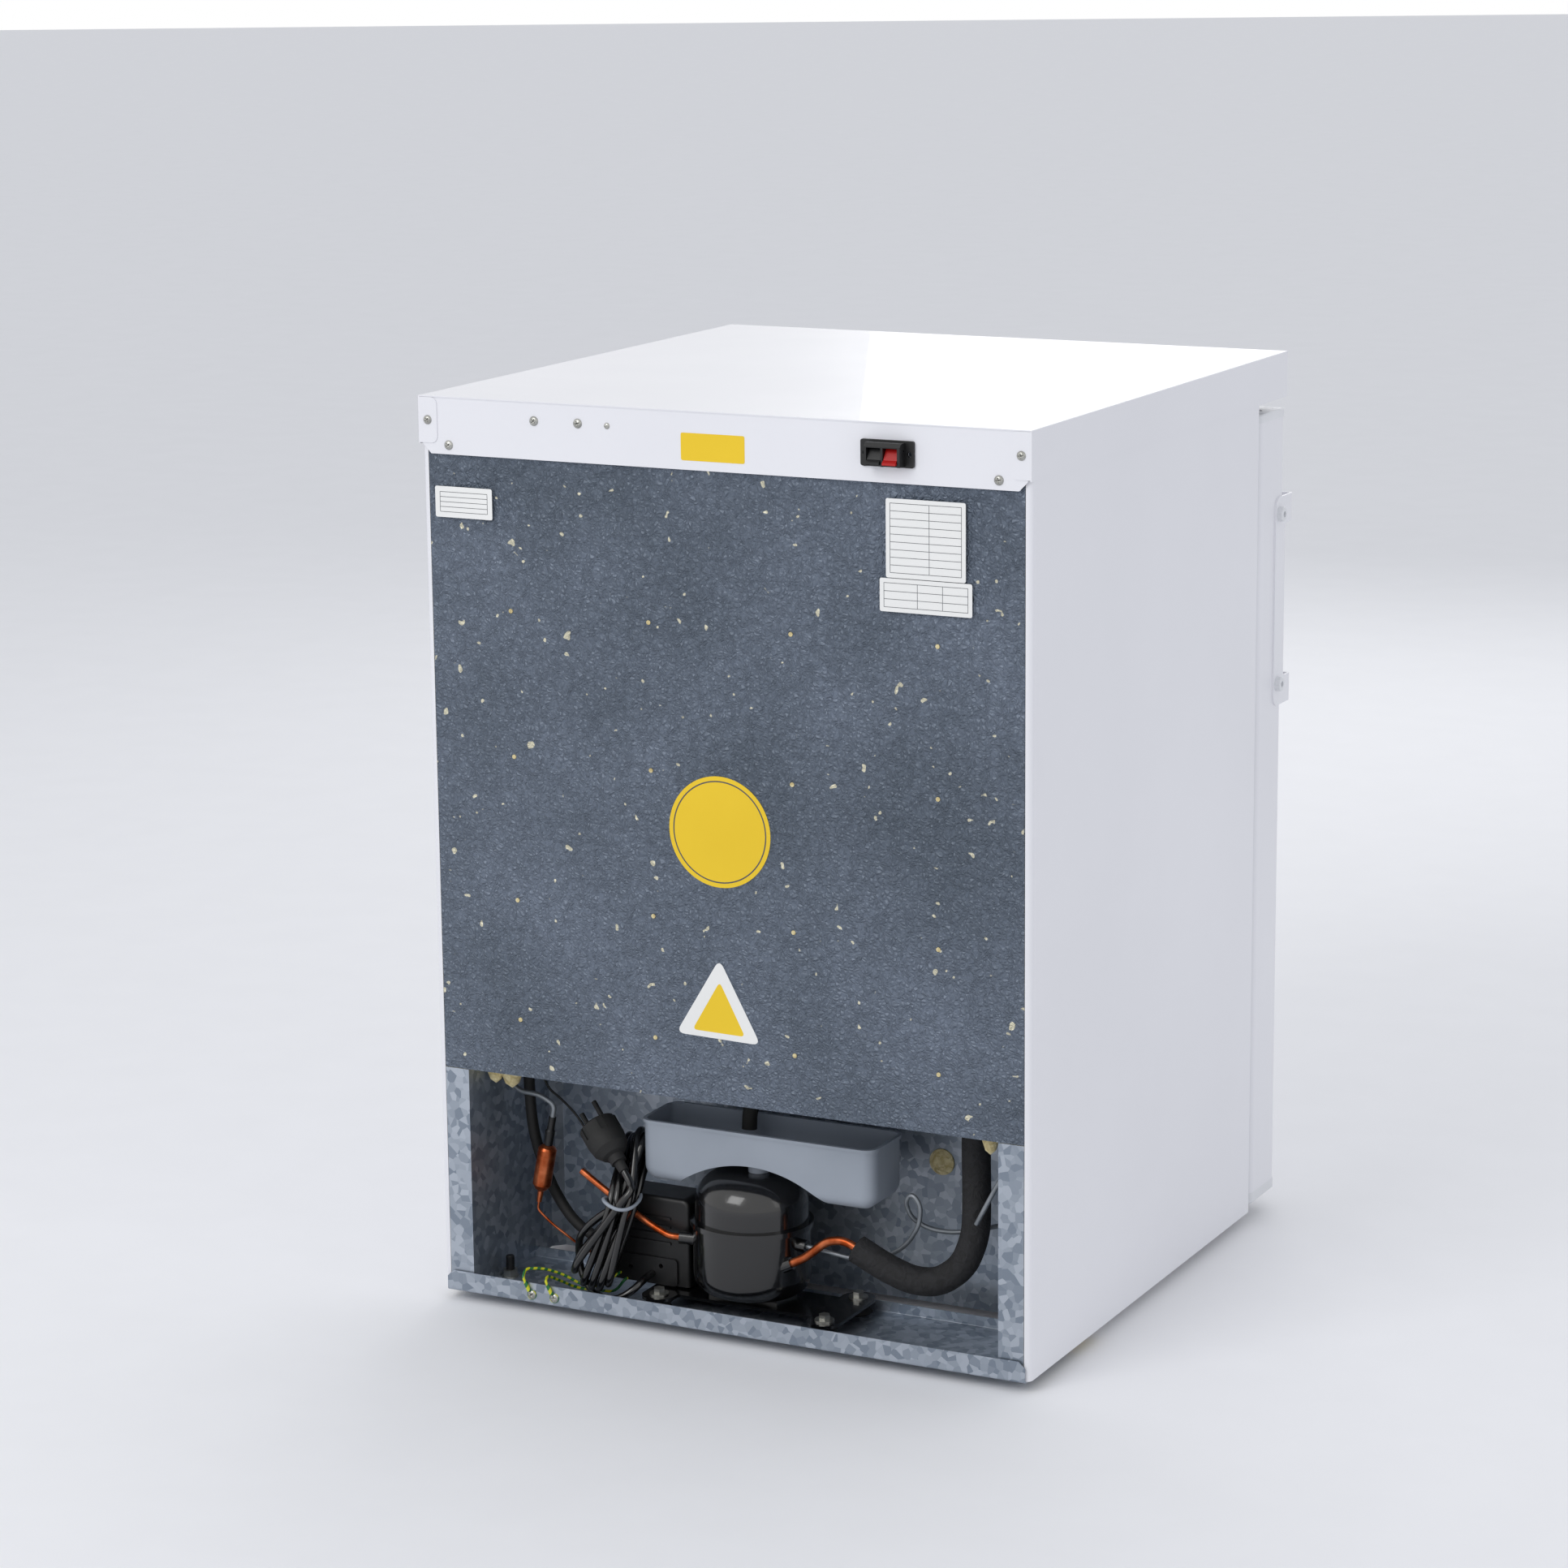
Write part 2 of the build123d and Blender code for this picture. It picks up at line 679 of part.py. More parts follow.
# Hinge brackets: lower plate under the cabinet, upper angle on the front frame
bracket_outer = shell_side - 1
collar_radius = 8
collar_gap = 0.3
pin_depth = 18
with BuildPart() as hinge_brackets:
    bracket_middle = (bracket_inner + bracket_outer) / 2
    bracket_width = bracket_outer - bracket_inner
    lower_back = -190
    with BuildSketch(Plane.XY.offset(shell_bottom - hinge_plate)) as lower_plan:
        with Locations((bracket_middle, (bracket_front + lower_back) / 2)):
            Rectangle(bracket_width, lower_back - bracket_front)
        fillet(lower_plan.vertices().group_by(Axis.Y)[0], 10)
    extrude(amount=hinge_plate)
    hinge_spot = [(hinge_x, hinge_y)]
    lower_top = Plane.XY.offset(shell_bottom)
    discs(lower_top, hinge_spot, collar_radius, door_bottom - collar_gap - shell_bottom)
    discs(lower_top, hinge_spot, pin_radius, door_bottom + pin_depth - shell_bottom)
    under = Plane.XY.offset(shell_bottom - hinge_plate)
    discs(under, bottom_screw_spots, bracket_screw_hole, hinge_plate, Mode.SUBTRACT)
    upper_plate = door_cap_top_z + 2
    with BuildSketch(Plane.XY.offset(upper_plate)) as upper_plan:
        with Locations((bracket_middle, (bracket_front + cabinet_front) / 2)):
            Rectangle(bracket_width, cabinet_front - bracket_front)
        fillet(upper_plan.vertices().group_by(Axis.Y)[0], 10)
    extrude(amount=hinge_plate)
    flange_sheet = 2.5
    flange_top = 841
    block(
        (bracket_inner, cabinet_front - flange_sheet, upper_plate),
        (bracket_outer, cabinet_front, flange_top),
    )
    discs(Plane.XY.offset(upper_plate), hinge_spot, pin_radius, door_cap_top_z - pin_depth - upper_plate)
    flange_plane = front_view(cabinet_front)
    discs(flange_plane, bracket_screw_spots, bracket_screw_hole, flange_sheet, Mode.SUBTRACT)
save(hinge_brackets, "hinge_brackets")

# Door skin: folded pan with rounded rear corners
skin_bottom = door_bottom + cap_height_bottom
skin_top = door_cap_top_z - cap_height_top
skin_line = door_skin_sheet / 2
with BuildPart() as door_skin:
    side = shell_side - skin_line
    front = door_front + skin_line
    rear = door_back - skin_line
    fold(
        [
            (-shell_side + door_return, rear),
            (-side, rear),
            (-side, front),
            (side, front),
            (side, rear),
            (shell_side - door_return, rear),
        ],
        [
            door_corner - skin_line,
            door_front_corner - skin_line,
            door_front_corner - skin_line,
            door_corner - skin_line,
        ],
        door_skin_sheet,
        Plane.XY.offset(skin_bottom),
        skin_top - skin_bottom,
    )

# Handle screws: places shared by the handle, the door side and the bosses
handle_screw_y = -281
handle_screw_levels = (handle_top - handle_screw_inset, handle_bottom + handle_screw_inset + 5.4)
handle_screws_at = [(handle_screw_y, z) for z in handle_screw_levels]
handle_shank = 3.0
handle_shank_length = 16
boss_radius = 7
boss_height = 5.5
handle_outer = -shell_side - handle_sheet
with door_skin:
    discs(side_view(-shell_side), handle_screws_at, handle_shank + 0.2, door_skin_sheet, Mode.SUBTRACT)
save(door_skin, "door_skin")


def door_plan(plane, inset, lip):
    # Plan of the door with rounded corners
    low = door_front + inset - lip
    high = door_back - inset
    with BuildSketch(plane) as plan:
        with Locations((0, (low + high) / 2)):
            Rectangle(2 * (shell_side - inset), high - low)
        fillet(plan.vertices().group_by(Axis.Y)[-1], door_corner - inset)
        fillet(plan.vertices().group_by(Axis.Y)[0], door_front_corner - inset)
    return plan.sketch


# Door foam, between the skin, the caps and the inner panel
cap_boss_radius = 9
cap_boss_height = 12
with BuildPart() as door_foam:
    foam_floor = Plane.XY.offset(skin_bottom)
    extrude(door_plan(foam_floor, door_skin_sheet, 0), amount=skin_top - skin_bottom)
    panel_side_door = shell_side - door_return - panel_gap
    block(
        (-panel_side_door, door_back - door_panel_wall, skin_bottom),
        (panel_side_door, door_back, skin_top),
        mode=Mode.SUBTRACT,
    )
    for plane, height in ((foam_floor, cap_boss_height), (Plane.XY.offset(skin_top), -cap_boss_height)):
        both_ends = [(hinge_x, hinge_y), (-hinge_x, hinge_y)]
        discs(plane, both_ends, cap_boss_radius + clearance, height, Mode.SUBTRACT)
    shank_pocket = handle_shank_length + pocket_gap
    discs(side_view(-shell_side), handle_screws_at, handle_shank + 0.2, shank_pocket, Mode.SUBTRACT)
save(door_foam, "door_foam")

# Door inner panel: flat margin and a hollow raised ring that enters the liner
ring_side = 238
ring_low = 74
ring_high = 741
ring_depth = 18
ring_band = 40
with BuildPart() as door_inner_panel:
    block(
        (-panel_side_door, door_back - door_panel_wall, skin_bottom),
        (panel_side_door, door_back, skin_top),
    )
    ring_middle = (ring_low + ring_high) / 2
    with BuildSketch(rear_view(door_back)):
        with Locations((0, ring_middle)):
            RectangleRounded(2 * ring_side, ring_high - ring_low, 14)
    extrude(amount=ring_depth, taper=12)
    with BuildSketch(rear_view(door_back + ring_depth)):
        with Locations((0, ring_middle)):
            well_width = 2 * (ring_side - ring_band)
            RectangleRounded(well_width, ring_high - ring_low - 2 * ring_band, 10)
    extrude(amount=-ring_depth + door_panel_wall, taper=8, mode=Mode.SUBTRACT)
save(door_inner_panel, "door_inner_panel")

# Door caps with hinge bores at both ends, so that the door can be hung on either side
bore_depth = pin_depth + 2
with BuildPart() as door_caps:
    top_plane = Plane.XY.offset(skin_top)
    extrude(door_plan(top_plane, 0, cap_lip), amount=cap_height_top)
    chamfer(door_caps.faces().sort_by(Axis.Z)[-1].edges(), 1.2)
    lower = Plane.XY.offset(door_bottom)
    extrude(door_plan(lower, 0, cap_lip), amount=cap_height_bottom)
    chamfer(door_caps.faces().sort_by(Axis.Z)[0].edges(), 2.4)
    discs(top_plane, both_ends, cap_boss_radius, -cap_boss_height)
    discs(foam_floor, both_ends, cap_boss_radius, cap_boss_height)
    bore = pin_radius + fit_clearance
    discs(Plane.XY.offset(door_cap_top_z), both_ends, bore, -bore_depth, Mode.SUBTRACT)
    discs(lower, both_ends, bore, bore_depth, Mode.SUBTRACT)
save(door_caps, "door_caps")

# Gasket: foot strip and magnet bead
with BuildPart() as door_gasket:
    gasket_side = shell_side - gasket_inset
    gasket_low = liner_bottom - 20
    gasket_high = liner_top + 27
    gasket_middle = (gasket_low + gasket_high) / 2
    gasket_tall = gasket_high - gasket_low
    gasket_foot = 2.0
    gasket_bead = 11
    bead_height = door_gap - gasket_foot - clearance
    for start, height, band in ((0, gasket_foot, gasket_width), (gasket_foot, bead_height, gasket_bead)):
        with BuildSketch(rear_view(door_back + start)):
            with Locations((0, gasket_middle)):
                RectangleRounded(2 * gasket_side, gasket_tall, 9)
                inner_width = 2 * (gasket_side - band)
                inner_tall = gasket_tall - 2 * band
                RectangleRounded(inner_width, inner_tall, 3, mode=Mode.SUBTRACT)
        extrude(amount=height)
save(door_gasket, "door_gasket")

# Handle: one folded sheet with two arms and a finger window in the fold
handle_rear = -272
handle_corner = 11
handle_front = door_front - handle_reach - handle_sheet
handle_leg = 38
window_edge = 9
with BuildPart() as door_handle:
    fold(
        [
            (handle_outer + handle_sheet / 2, handle_rear),
            (handle_outer + handle_sheet / 2, handle_front + handle_sheet / 2),
            (handle_outer + handle_leg, handle_front + handle_sheet / 2),
        ],
        3.0,
        handle_sheet,
        Plane.XY.offset(handle_bottom),
        handle_top - handle_bottom,
    )
    with BuildSketch(side_view(handle_outer)) as window:
        front_half = (handle_front - 1 + door_front - 2) / 2
        with Locations((front_half, (handle_bottom + handle_top) / 2)):
            window_tall = handle_top - handle_bottom - 2 * handle_arm
            Rectangle(door_front - 2 - handle_front + 1, window_tall)
        fillet(window.vertices().group_by(Axis.X)[-1], 5)
    extrude(amount=window_edge, mode=Mode.SUBTRACT)
    upright = door_handle.edges().filter_by(Axis.X)
    rear_corners = upright.group_by(Axis.Y)[-1]
    fillet(rear_corners, handle_corner)
    discs(side_view(handle_outer), handle_screws_at, handle_shank + 0.2, handle_sheet, Mode.SUBTRACT)
save(door_handle, "door_handle")

with BuildPart() as handle_screws:
    outside = side_view(handle_outer)
    discs(outside, handle_screws_at, boss_radius, -boss_height)
    fillet(handle_screws.faces().sort_by(Axis.X)[0].edges(), 1.2)
    fillet(handle_screws.faces().sort_by(Axis.X)[1].edges(), 1.2)
    discs(outside, handle_screws_at, handle_shank, handle_shank_length + handle_sheet)
    with BuildSketch(side_view(handle_outer - boss_height)):
        with Locations(*handle_screws_at):
            RegularPolygon(3.2, 6)
    extrude(amount=3.5, mode=Mode.SUBTRACT)
save(handle_screws, "handle_screws")

# Levelling feet: pad, neck and stud in one turning
pad_radius = 15
pad_height = 5
neck_radius = 7
for name, (x, y) in foot_spots.items():
    with BuildPart() as foot:
        turned(
            (x, y, 0),
            (0, 0, 1),
            [
                (0, 0),
                (pad_radius - 1.5, 0),
                (pad_radius, 1.5),
                (pad_radius - 1, pad_height),
                (neck_radius, pad_height + 0.8),
                (neck_radius, foot_height),
                (stud_radius, foot_height),
                (stud_radius, stud_top - 0.8),
                (stud_radius - 0.8, stud_top),
                (0, stud_top),
            ],
        )
    save(foot, name)

with BuildPart() as foot_nuts:
    nut_floors = ((rear_feet, shell_bottom), (front_feet, shell_bottom + shell_sheet))
    for spots, floor in nut_floors:
        discs(Plane.XY.offset(floor), spots, washer_radius, washer_sheet)
        with BuildSketch(Plane.XY.offset(floor + washer_sheet)):
            with Locations(*spots):
                RegularPolygon(nut_radius, 6)
        extrude(amount=nut_height)
        nut_bore = stud_radius + fit_clearance
        discs(Plane.XY.offset(floor), spots, nut_bore, washer_sheet + nut_height, Mode.SUBTRACT)
save(foot_nuts, "foot_nuts")

# Compressor: two deep-drawn shells, seam flange, stub bosses and welded base
rail_top = shell_bottom + grommet_height + rail_sheet
suction_root = Vector(-22, 262, 59.6)
suction_way = Vector(-29, -3, 15).normalized()
process_root = Vector(46, 252, 78)
process_way = Vector(17, 4.5, 1).normalized()
discharge_root = Vector(-28, 246, 86)
discharge_way = Vector(-1, 0.05, -0.05).normalized()
stub_length = 26
with BuildPart() as compressor:
    with BuildSketch(Plane.XY.offset(comp_bottom)):
        with Locations((comp_x, comp_y)):
            Ellipse(comp_half_x, comp_half_y)
    extrude(amount=comp_seam - comp_bottom)
    fillet(compressor.faces().sort_by(Axis.Z)[0].edges(), 18)
    with BuildSketch(Plane.XY.offset(comp_seam)):
        with Locations((comp_x, comp_y)):
            Ellipse(comp_half_x - 2, comp_half_y - 2)
    extrude(amount=comp_top - comp_seam)
    fillet(compressor.faces().sort_by(Axis.Z)[-1].edges(), 30)
    with BuildSketch(Plane.XY.offset(comp_seam - 2.5)):
        with Locations((comp_x, comp_y)):
            Ellipse(comp_half_x + 2.5, comp_half_y + 2.5)
    extrude(amount=5)
    for root, way in (
        (suction_root, suction_way),
        (process_root, process_way),
        (discharge_root, discharge_way),
    ):
        with BuildSketch(Plane(origin=root, z_dir=way)):
            Circle(6)
        extrude(amount=stub_length)
    rail_tall = bolt_pitch_y + rail_width
    with BuildSketch(Plane.XY.offset(rail_top - rail_sheet)):
        for hand in (1, -1):
            with Locations((bolt_x + hand * bolt_pitch_x / 2, comp_y)):
                SlotOverall(rail_tall, rail_width, rotation=90)
        with Locations((bolt_x, comp_y)):
            Rectangle(bolt_pitch_x, bolt_pitch_y - 12)
    extrude(amount=rail_sheet)
    with BuildSketch(Plane.XY.offset(rail_top)):
        with Locations((comp_x, comp_y)):
            Rectangle(70, 40)
    extrude(amount=comp_bottom - rail_top + 2)
    rail_plane = Plane.XY.offset(rail_top)
    discs(rail_plane, compressor_bolts, bolt_radius + 0.8, -rail_sheet, Mode.SUBTRACT)
save(compressor, "compressor")

with BuildPart() as compressor_grommets:
    grommet_radius = 13
    for x, y in compressor_bolts:
        turned(
            (x, y, shell_bottom),
            (0, 0, 1),
            [
                (bolt_radius + 0.8, 0),
                (grommet_radius - 2, 0),
                (grommet_radius, 2),
                (grommet_radius - 3, grommet_height / 2),
                (grommet_radius, grommet_height - 2),
                (grommet_radius - 2, grommet_height),
                (bolt_radius + 0.8, grommet_height),
            ],
        )
save(compressor_grommets, "compressor_grommets")

with BuildPart() as compressor_bolt_set:
    discs(rail_plane, compressor_bolts, 9, 1.6)
    with BuildSketch(Plane.XY.offset(rail_top + 1.6)):
        with Locations(*compressor_bolts):
            RegularPolygon(5.5, 6)
    extrude(amount=4.5)
    discs(rail_plane, compressor_bolts, bolt_radius, foot_height - rail_top)
save(compressor_bolt_set, "compressor_bolts")

# Terminal cover on the hinge side of the compressor, with a cord clamp below
relay_inner = comp_x + comp_half_x + 3
relay_outer = 148
relay_front = 212
relay_back = 250
relay_low = rail_top + 2
relay_high = 112
clamp_top = 54
clamp_back = relay_back + 2.5
relay_screw_spots = [(141, 40), (127, 41), (95, 46)]
with BuildPart() as terminal_cover:
    with BuildSketch(rear_view(relay_front)) as cover_face:
        with Locations((-(relay_inner + relay_outer) / 2, (relay_low + relay_high) / 2)):
            Rectangle(relay_outer - relay_inner, relay_high - relay_low)
        fillet(cover_face.vertices().group_by(Axis.Y)[-1], 8)
    extrude(amount=relay_back - relay_front)
    fillet(terminal_cover.faces().sort_by(Axis.Y)[-1].edges().group_by(Axis.Z)[-1], 4)
    with BuildSketch(rear_view(relay_back)):
        with Locations((-(relay_inner + 12 + relay_outer) / 2, (relay_low + clamp_top) / 2)):
            RectangleRounded(relay_outer - relay_inner - 12, clamp_top - relay_low, 4)
    extrude(amount=clamp_back - relay_back)
    with BuildSketch(rear_view(relay_back)):
        with Locations((-(relay_inner + relay_outer) / 2, 80)):
            with GridLocations(1, 8, 1, 4):
                RectangleRounded(44, 3, 1)
    extrude(amount=1.5)
    relay_bore = seen_from_rear(relay_screw_spots)
    discs(rear_view(clamp_back), relay_bore, screw_hole, -screw_length, Mode.SUBTRACT)
save(terminal_cover, "terminal_cover")

# Pan screws of the covers, terminals and earth tags, one group of like fasteners
with BuildPart() as pan_screws:
    head_radius = 4.0
    head_height = 2.4
    lug_sheet = 1.0
    groups = [
        (cover_outer, cover_screw_spots, head_radius, screw_length),
        (cover_outer, cover_screw_small, 2.6, screw_length),
        (lid_back, flap_screw_spots, 3.2, screw_length - 6),
        (cover_outer + terminal_sheet, terminal_screws, 3.2, terminal_sheet + 1.5),
        (clamp_back, relay_screw_spots, 3.8, screw_length - 1),
    ]
    groups.append((tray_back + lug_sheet, [(x, earth_screw_z) for x in earth_screw_x], 3.6, 6.0))
    for plane_y, spots, radius, length in groups:
        plane = rear_view(plane_y)
        local = seen_from_rear(spots)
        discs(plane, local, radius, head_height)
        discs(plane, local, screw_shank, -length)
    discs(front_view(cabinet_front - flange_sheet), bracket_screw_spots, 2.4, -bracket_screw_length)
    discs(under, bottom_screw_spots, 2.4, bracket_screw_length)
save(pan_screws, "cover_screws")

# Evaporation tray over the compressor: arched floor, rounded corner, locating pad
pan_left = 110
pan_right = -127
pan_low = 130
pan_rim = 188
pan_near = 260
pan_far = 195
pan_wall = 2.0
arch_left = 74
arch_right = -80
arch_top = 157
pad_wide = 10


def pan_section(plane, grow, rim):
    # Tray section seen from the rear, with the arch over the compressor
    with BuildSketch(plane) as section:
        with BuildLine():
            left = -(pan_left - grow)
            right = -(pan_right + grow)
            low = pan_low + grow
            Line((left, rim), (left, low + 14))
            RadiusArc((left, low + 14), (left + 14, low), -14)
            Line((left + 14, low), (-arch_left - grow, low))
            ThreePointArc(
                (-arch_left - grow, low),
                (-(arch_left + arch_right) / 2, arch_top + grow),
                (-arch_right + grow, low),
            )
            Line((-arch_right + grow, low), (right - 14, low))
            RadiusArc((right - 14, low), (right, low + 14), -14)
            Line((right, low + 14), (right, rim))
            Line((right, rim), (left, rim))
        make_face()
    return section.sketch


with BuildPart() as evaporation_tray:
    extrude(pan_section(rear_view(pan_far), 0, pan_rim), amount=pan_near - pan_far)
    corners = evaporation_tray.edges().filter_by(Axis.Z)
    fillet(corners, 12)
    inside = pan_section(rear_view(pan_far + pan_wall), pan_wall, pan_rim + 1)
    with BuildPart(mode=Mode.PRIVATE) as hollow:
        extrude(inside, amount=pan_near - pan_far - 2 * pan_wall)
        fillet(hollow.edges().filter_by(Axis.Z), 12 - pan_wall)
    add(hollow.part, mode=Mode.SUBTRACT)
    with BuildSketch(Plane.XY.offset(pan_rim - 3)):
        with Locations(((pan_left + pan_right) / 2, (pan_near + pan_far) / 2)):
            RectangleRounded(pan_left - pan_right + 3, pan_near - pan_far + 3, 13.5)
            RectangleRounded(pan_left - pan_right - 1, pan_near - pan_far - 1, 11.5, mode=Mode.SUBTRACT)
    extrude(amount=3)
    discs(Plane.XY.offset(arch_top + 0.5), [(comp_x - 8, comp_y)], pad_wide, comp_top - arch_top - 0.3)
save(evaporation_tray, "evaporation_tray")

# Refrigerant circuit in the machine bay
filter_top = Vector(220, 240, 143)
filter_end = Vector(229, 240, 98)
filter_way = filter_end - filter_top
filter_length = filter_way.length
filter_radius = 8.8
with BuildPart() as filter_drier:
    turned(
        tuple(filter_top),
        tuple(filter_way),
        [
            (0, 0),
            (4, 0),
            (7.2, 2),
            (filter_radius, 4.2),
            (filter_radius, filter_length - 6),
            (6, filter_length - 1.5),
            (3, filter_length + 1),
            (2.4, filter_length + 12),
            (0, filter_length + 12),
        ],
    )
save(filter_drier, "filter_drier")

neck_end = filter_top + filter_way.normalized() * (filter_length + 12)
joint_top = Vector(214.5, 240, 171)
joint_way = (filter_top - joint_top) * 0.98
with BuildPart() as joint_sleeve:
    turned(
        tuple(joint_top),
        tuple(joint_way),
        [
            (0, 0),
            (3.4, 0),
            (3.6, joint_way.length * 0.45),
            (4.6, joint_way.length * 0.5),
            (4.2, joint_way.length),
            (0, joint_way.length),
        ],
    )
save(joint_sleeve, "joint_sleeve")


def circuit_tube(name, points, radius):
    # A rigid tube of the circuit with the bends that its runs allow
    with BuildPart() as pipe:
        length = tube([tuple(point) for point in points], radius)
    save(pipe, name)
    print(name, "length", round(length), "section ratio", round(pipe.part.volume / length / radius**2, 3))


condenser_radius = 2.5
condenser_lead_in = joint_top - joint_way.normalized() * 12
with BuildPart() as condenser_tubes:
    outlet = [
        (262, 240, bay_top),
        (262, 240, 206),
        (252, 240, 192),
        (228, 240, 191),
        tuple(condenser_lead_in),
        tuple(joint_top),
    ]
    tube(outlet, condenser_radius)
    exchanger = [
        (-bay_side, 250, 188),
        (-257, 250, 188),
        (-246, 251, 172),
        (-235, 253, 150),
        (-226, 254, 132),
    ]
    tube(exchanger, 2.2)
save(condenser_tubes, "condenser_tubes")
capillary_radius = 1.2
capillary_lead = neck_end + filter_way.normalized() * 8
circuit_tube(
    "capillary_tube",
    [neck_end, capillary_lead, (220, 238, 66), (202, 233, 52), (187, 225, 38), (178, 206, 31),
     (173, 176, 32), (173, bay_back, 32)],
    capillary_radius,
)
discharge_radius = 2.2
discharge_start = discharge_root + discharge_way * stub_length
circuit_tube(
    "discharge_tube",
    [discharge_start, discharge_start + discharge_way * 20, (-101, 246, 79), (-127, 240, 81), (-150, 238, 97), (-163, 239, 118),
     (-165, 240, 137), (-156, 240, 148), (-148, 237, 137), (-152, 232, 121), (-167, 226, 111),
     (-188, 218, 108), (-210, 210, 112), (-238, 204, 120), (-bay_side, 204, 120)],
    discharge_radius,
)
suction_radius = 4.0
sleeve_radius = 13
suction_start = suction_root + suction_way * stub_length
sleeve_start = Vector(-110, 258, 94)
sleeve_way = Vector(-26, 0.5, -12).normalized()
sleeve_depth = 20
circuit_tube(
    "suction_tube",
    [
        suction_start,
        suction_start + suction_way * 14,
        (-80, 257.5, 97),
        sleeve_start - sleeve_way * 14,
        sleeve_start + sleeve_way * sleeve_depth,
    ],
    suction_radius,
)
sleeve_points = [
    sleeve_start,
    sleeve_start + sleeve_way * 32,
    (-166, 258, 72),
    (-190, 255, 73),
    (-211, 248, 89),
    (-219, 239, 117),
    (-217, 233, 150),
    (-215, 230, 190),
    (-215, 230, bay_top),
]
with BuildPart() as suction_sleeve:
    tube([tuple(point) for point in sleeve_points], sleeve_radius)
    with BuildSketch(Plane(origin=sleeve_start, z_dir=sleeve_way)):
        Circle(suction_radius + clearance)
    extrude(amount=sleeve_depth + pocket_gap, mode=Mode.SUBTRACT)
save(suction_sleeve, "suction_sleeve")

process_radius = 3.2
process_start = process_root + process_way * stub_length
with BuildPart() as process_tube:
    process_bend = process_start + process_way * 10
    process_points = [(97, 260, 86), (120, 260, 98), (146, 260, 113), (173, 260, 130)]
    tube([tuple(process_start), tuple(process_bend)] + process_points, process_radius)
save(process_tube, "process_tube")

# Wiring conduit and sensor lead into the terminal cover
conduit_radius = 5.2
lead_radius = 1.1
with BuildPart() as bay_wiring:
    conduit = [
        (251, 220, bay_top),
        (251, 220, 192),
        (249, 219, 152),
        (241, 216, 116),
        (226, 216, 86),
        (206, 217, 62),
        (180, 219, 50),
        (relay_outer, 219, 50),
    ]
    tube(conduit, conduit_radius)
    lead = [
        (230, 229, bay_top),
        (230, 229, 198),
        (206, 230, 183),
        (190, 232, 170),
        (176, 234, 150),
        (160, 234, 132),
        (130, 232, 126),
        (130, 232, relay_high),
    ]
    tube(lead, lead_radius)
save(bay_wiring, "bay_wiring")

# Foam that swelled out at the tube exits, and the plug in the knock-out
with BuildPart() as foam_plugs:
    for x, y, wide, tall in ((273, 268, 9, 22), (243, 264, 11, 26), (-250, 276, 8, 22)):
        lump_x = min(x, bay_side - wide - pocket_gap)
        turned(
            (lump_x, y, bay_top),
            (0, 0, -1),
            [(0, 0), (wide, 0), (wide * 0.95, tall * 0.4), (wide * 0.6, tall * 0.8), (0, tall)],
        )
    plug_outline = [
        (0, 0),
        (knock_out_radius - 0.2, 0),
        (knock_out_radius - 0.2, bay_sheet + 1.5),
        (8, bay_sheet + 3),
        (8, bay_sheet + 2),
        (0, bay_sheet + 2),
    ]
    turned((knock_out_x, bay_back - bay_sheet, knock_out_z), (0, 1, 0), plug_outline)
save(foam_plugs, "foam_plugs")

# Drain spout from the cold space, over the far rim of the evaporation tray
with BuildPart() as drain_spout:
    tube([(20, bay_back, 207), (20, 176, 207), (20, 200, 205), (20, 214, 196), (20, 216, 178)], 7)
save(drain_spout, "drain_spout")

# Earth leads with crimped ring tags on the rear upstand
wire_radius = 1.3
tag_radius = 4.6
tag_way = Vector(0.45, 0, 0.9).normalized()
barrel_radius = 1.8
barrel_y = tray_back + barrel_radius + 0.1
barrel_start = 4.2
barrel_length = 9
with BuildPart() as earth_leads:
    ends = []
    for x in earth_screw_x:
        discs(rear_view(tray_back), [(-x, earth_screw_z)], tag_radius, lug_sheet)
        root = Vector(x, barrel_y, earth_screw_z) + tag_way * barrel_start
        with BuildSketch(Plane(origin=root, z_dir=tag_way)):
            Circle(barrel_radius)
        extrude(amount=barrel_length)
        ends.append(root + tag_way * barrel_length)
        discs(rear_view(tray_back), [(-x, earth_screw_z)], screw_hole, lug_sheet, Mode.SUBTRACT)
    upper_lead = [
        (138, clamp_back, 34),
        (138, 260, 34),
        (150, 264, 22),
        (170, 264, 19),
        (190, 270, 30),
        (203, 284, 38),
        (214, 297, 40),
        tuple(ends[0] + tag_way * 5),
        tuple(ends[0]),
    ]
    tube(upper_lead, wire_radius)
    lower_lead = [
        (131, clamp_back, 29),
        (131, 258, 29),
        (141, 258, 16),
        (164, 257, 14),
        (180, 263, 16),
        (187, 278, 26),
        (191, 296, 36),
        tuple(ends[1] + tag_way * 5),
        tuple(ends[1]),
    ]
    tube(lower_lead, wire_radius)
save(earth_leads, "earth_leads")

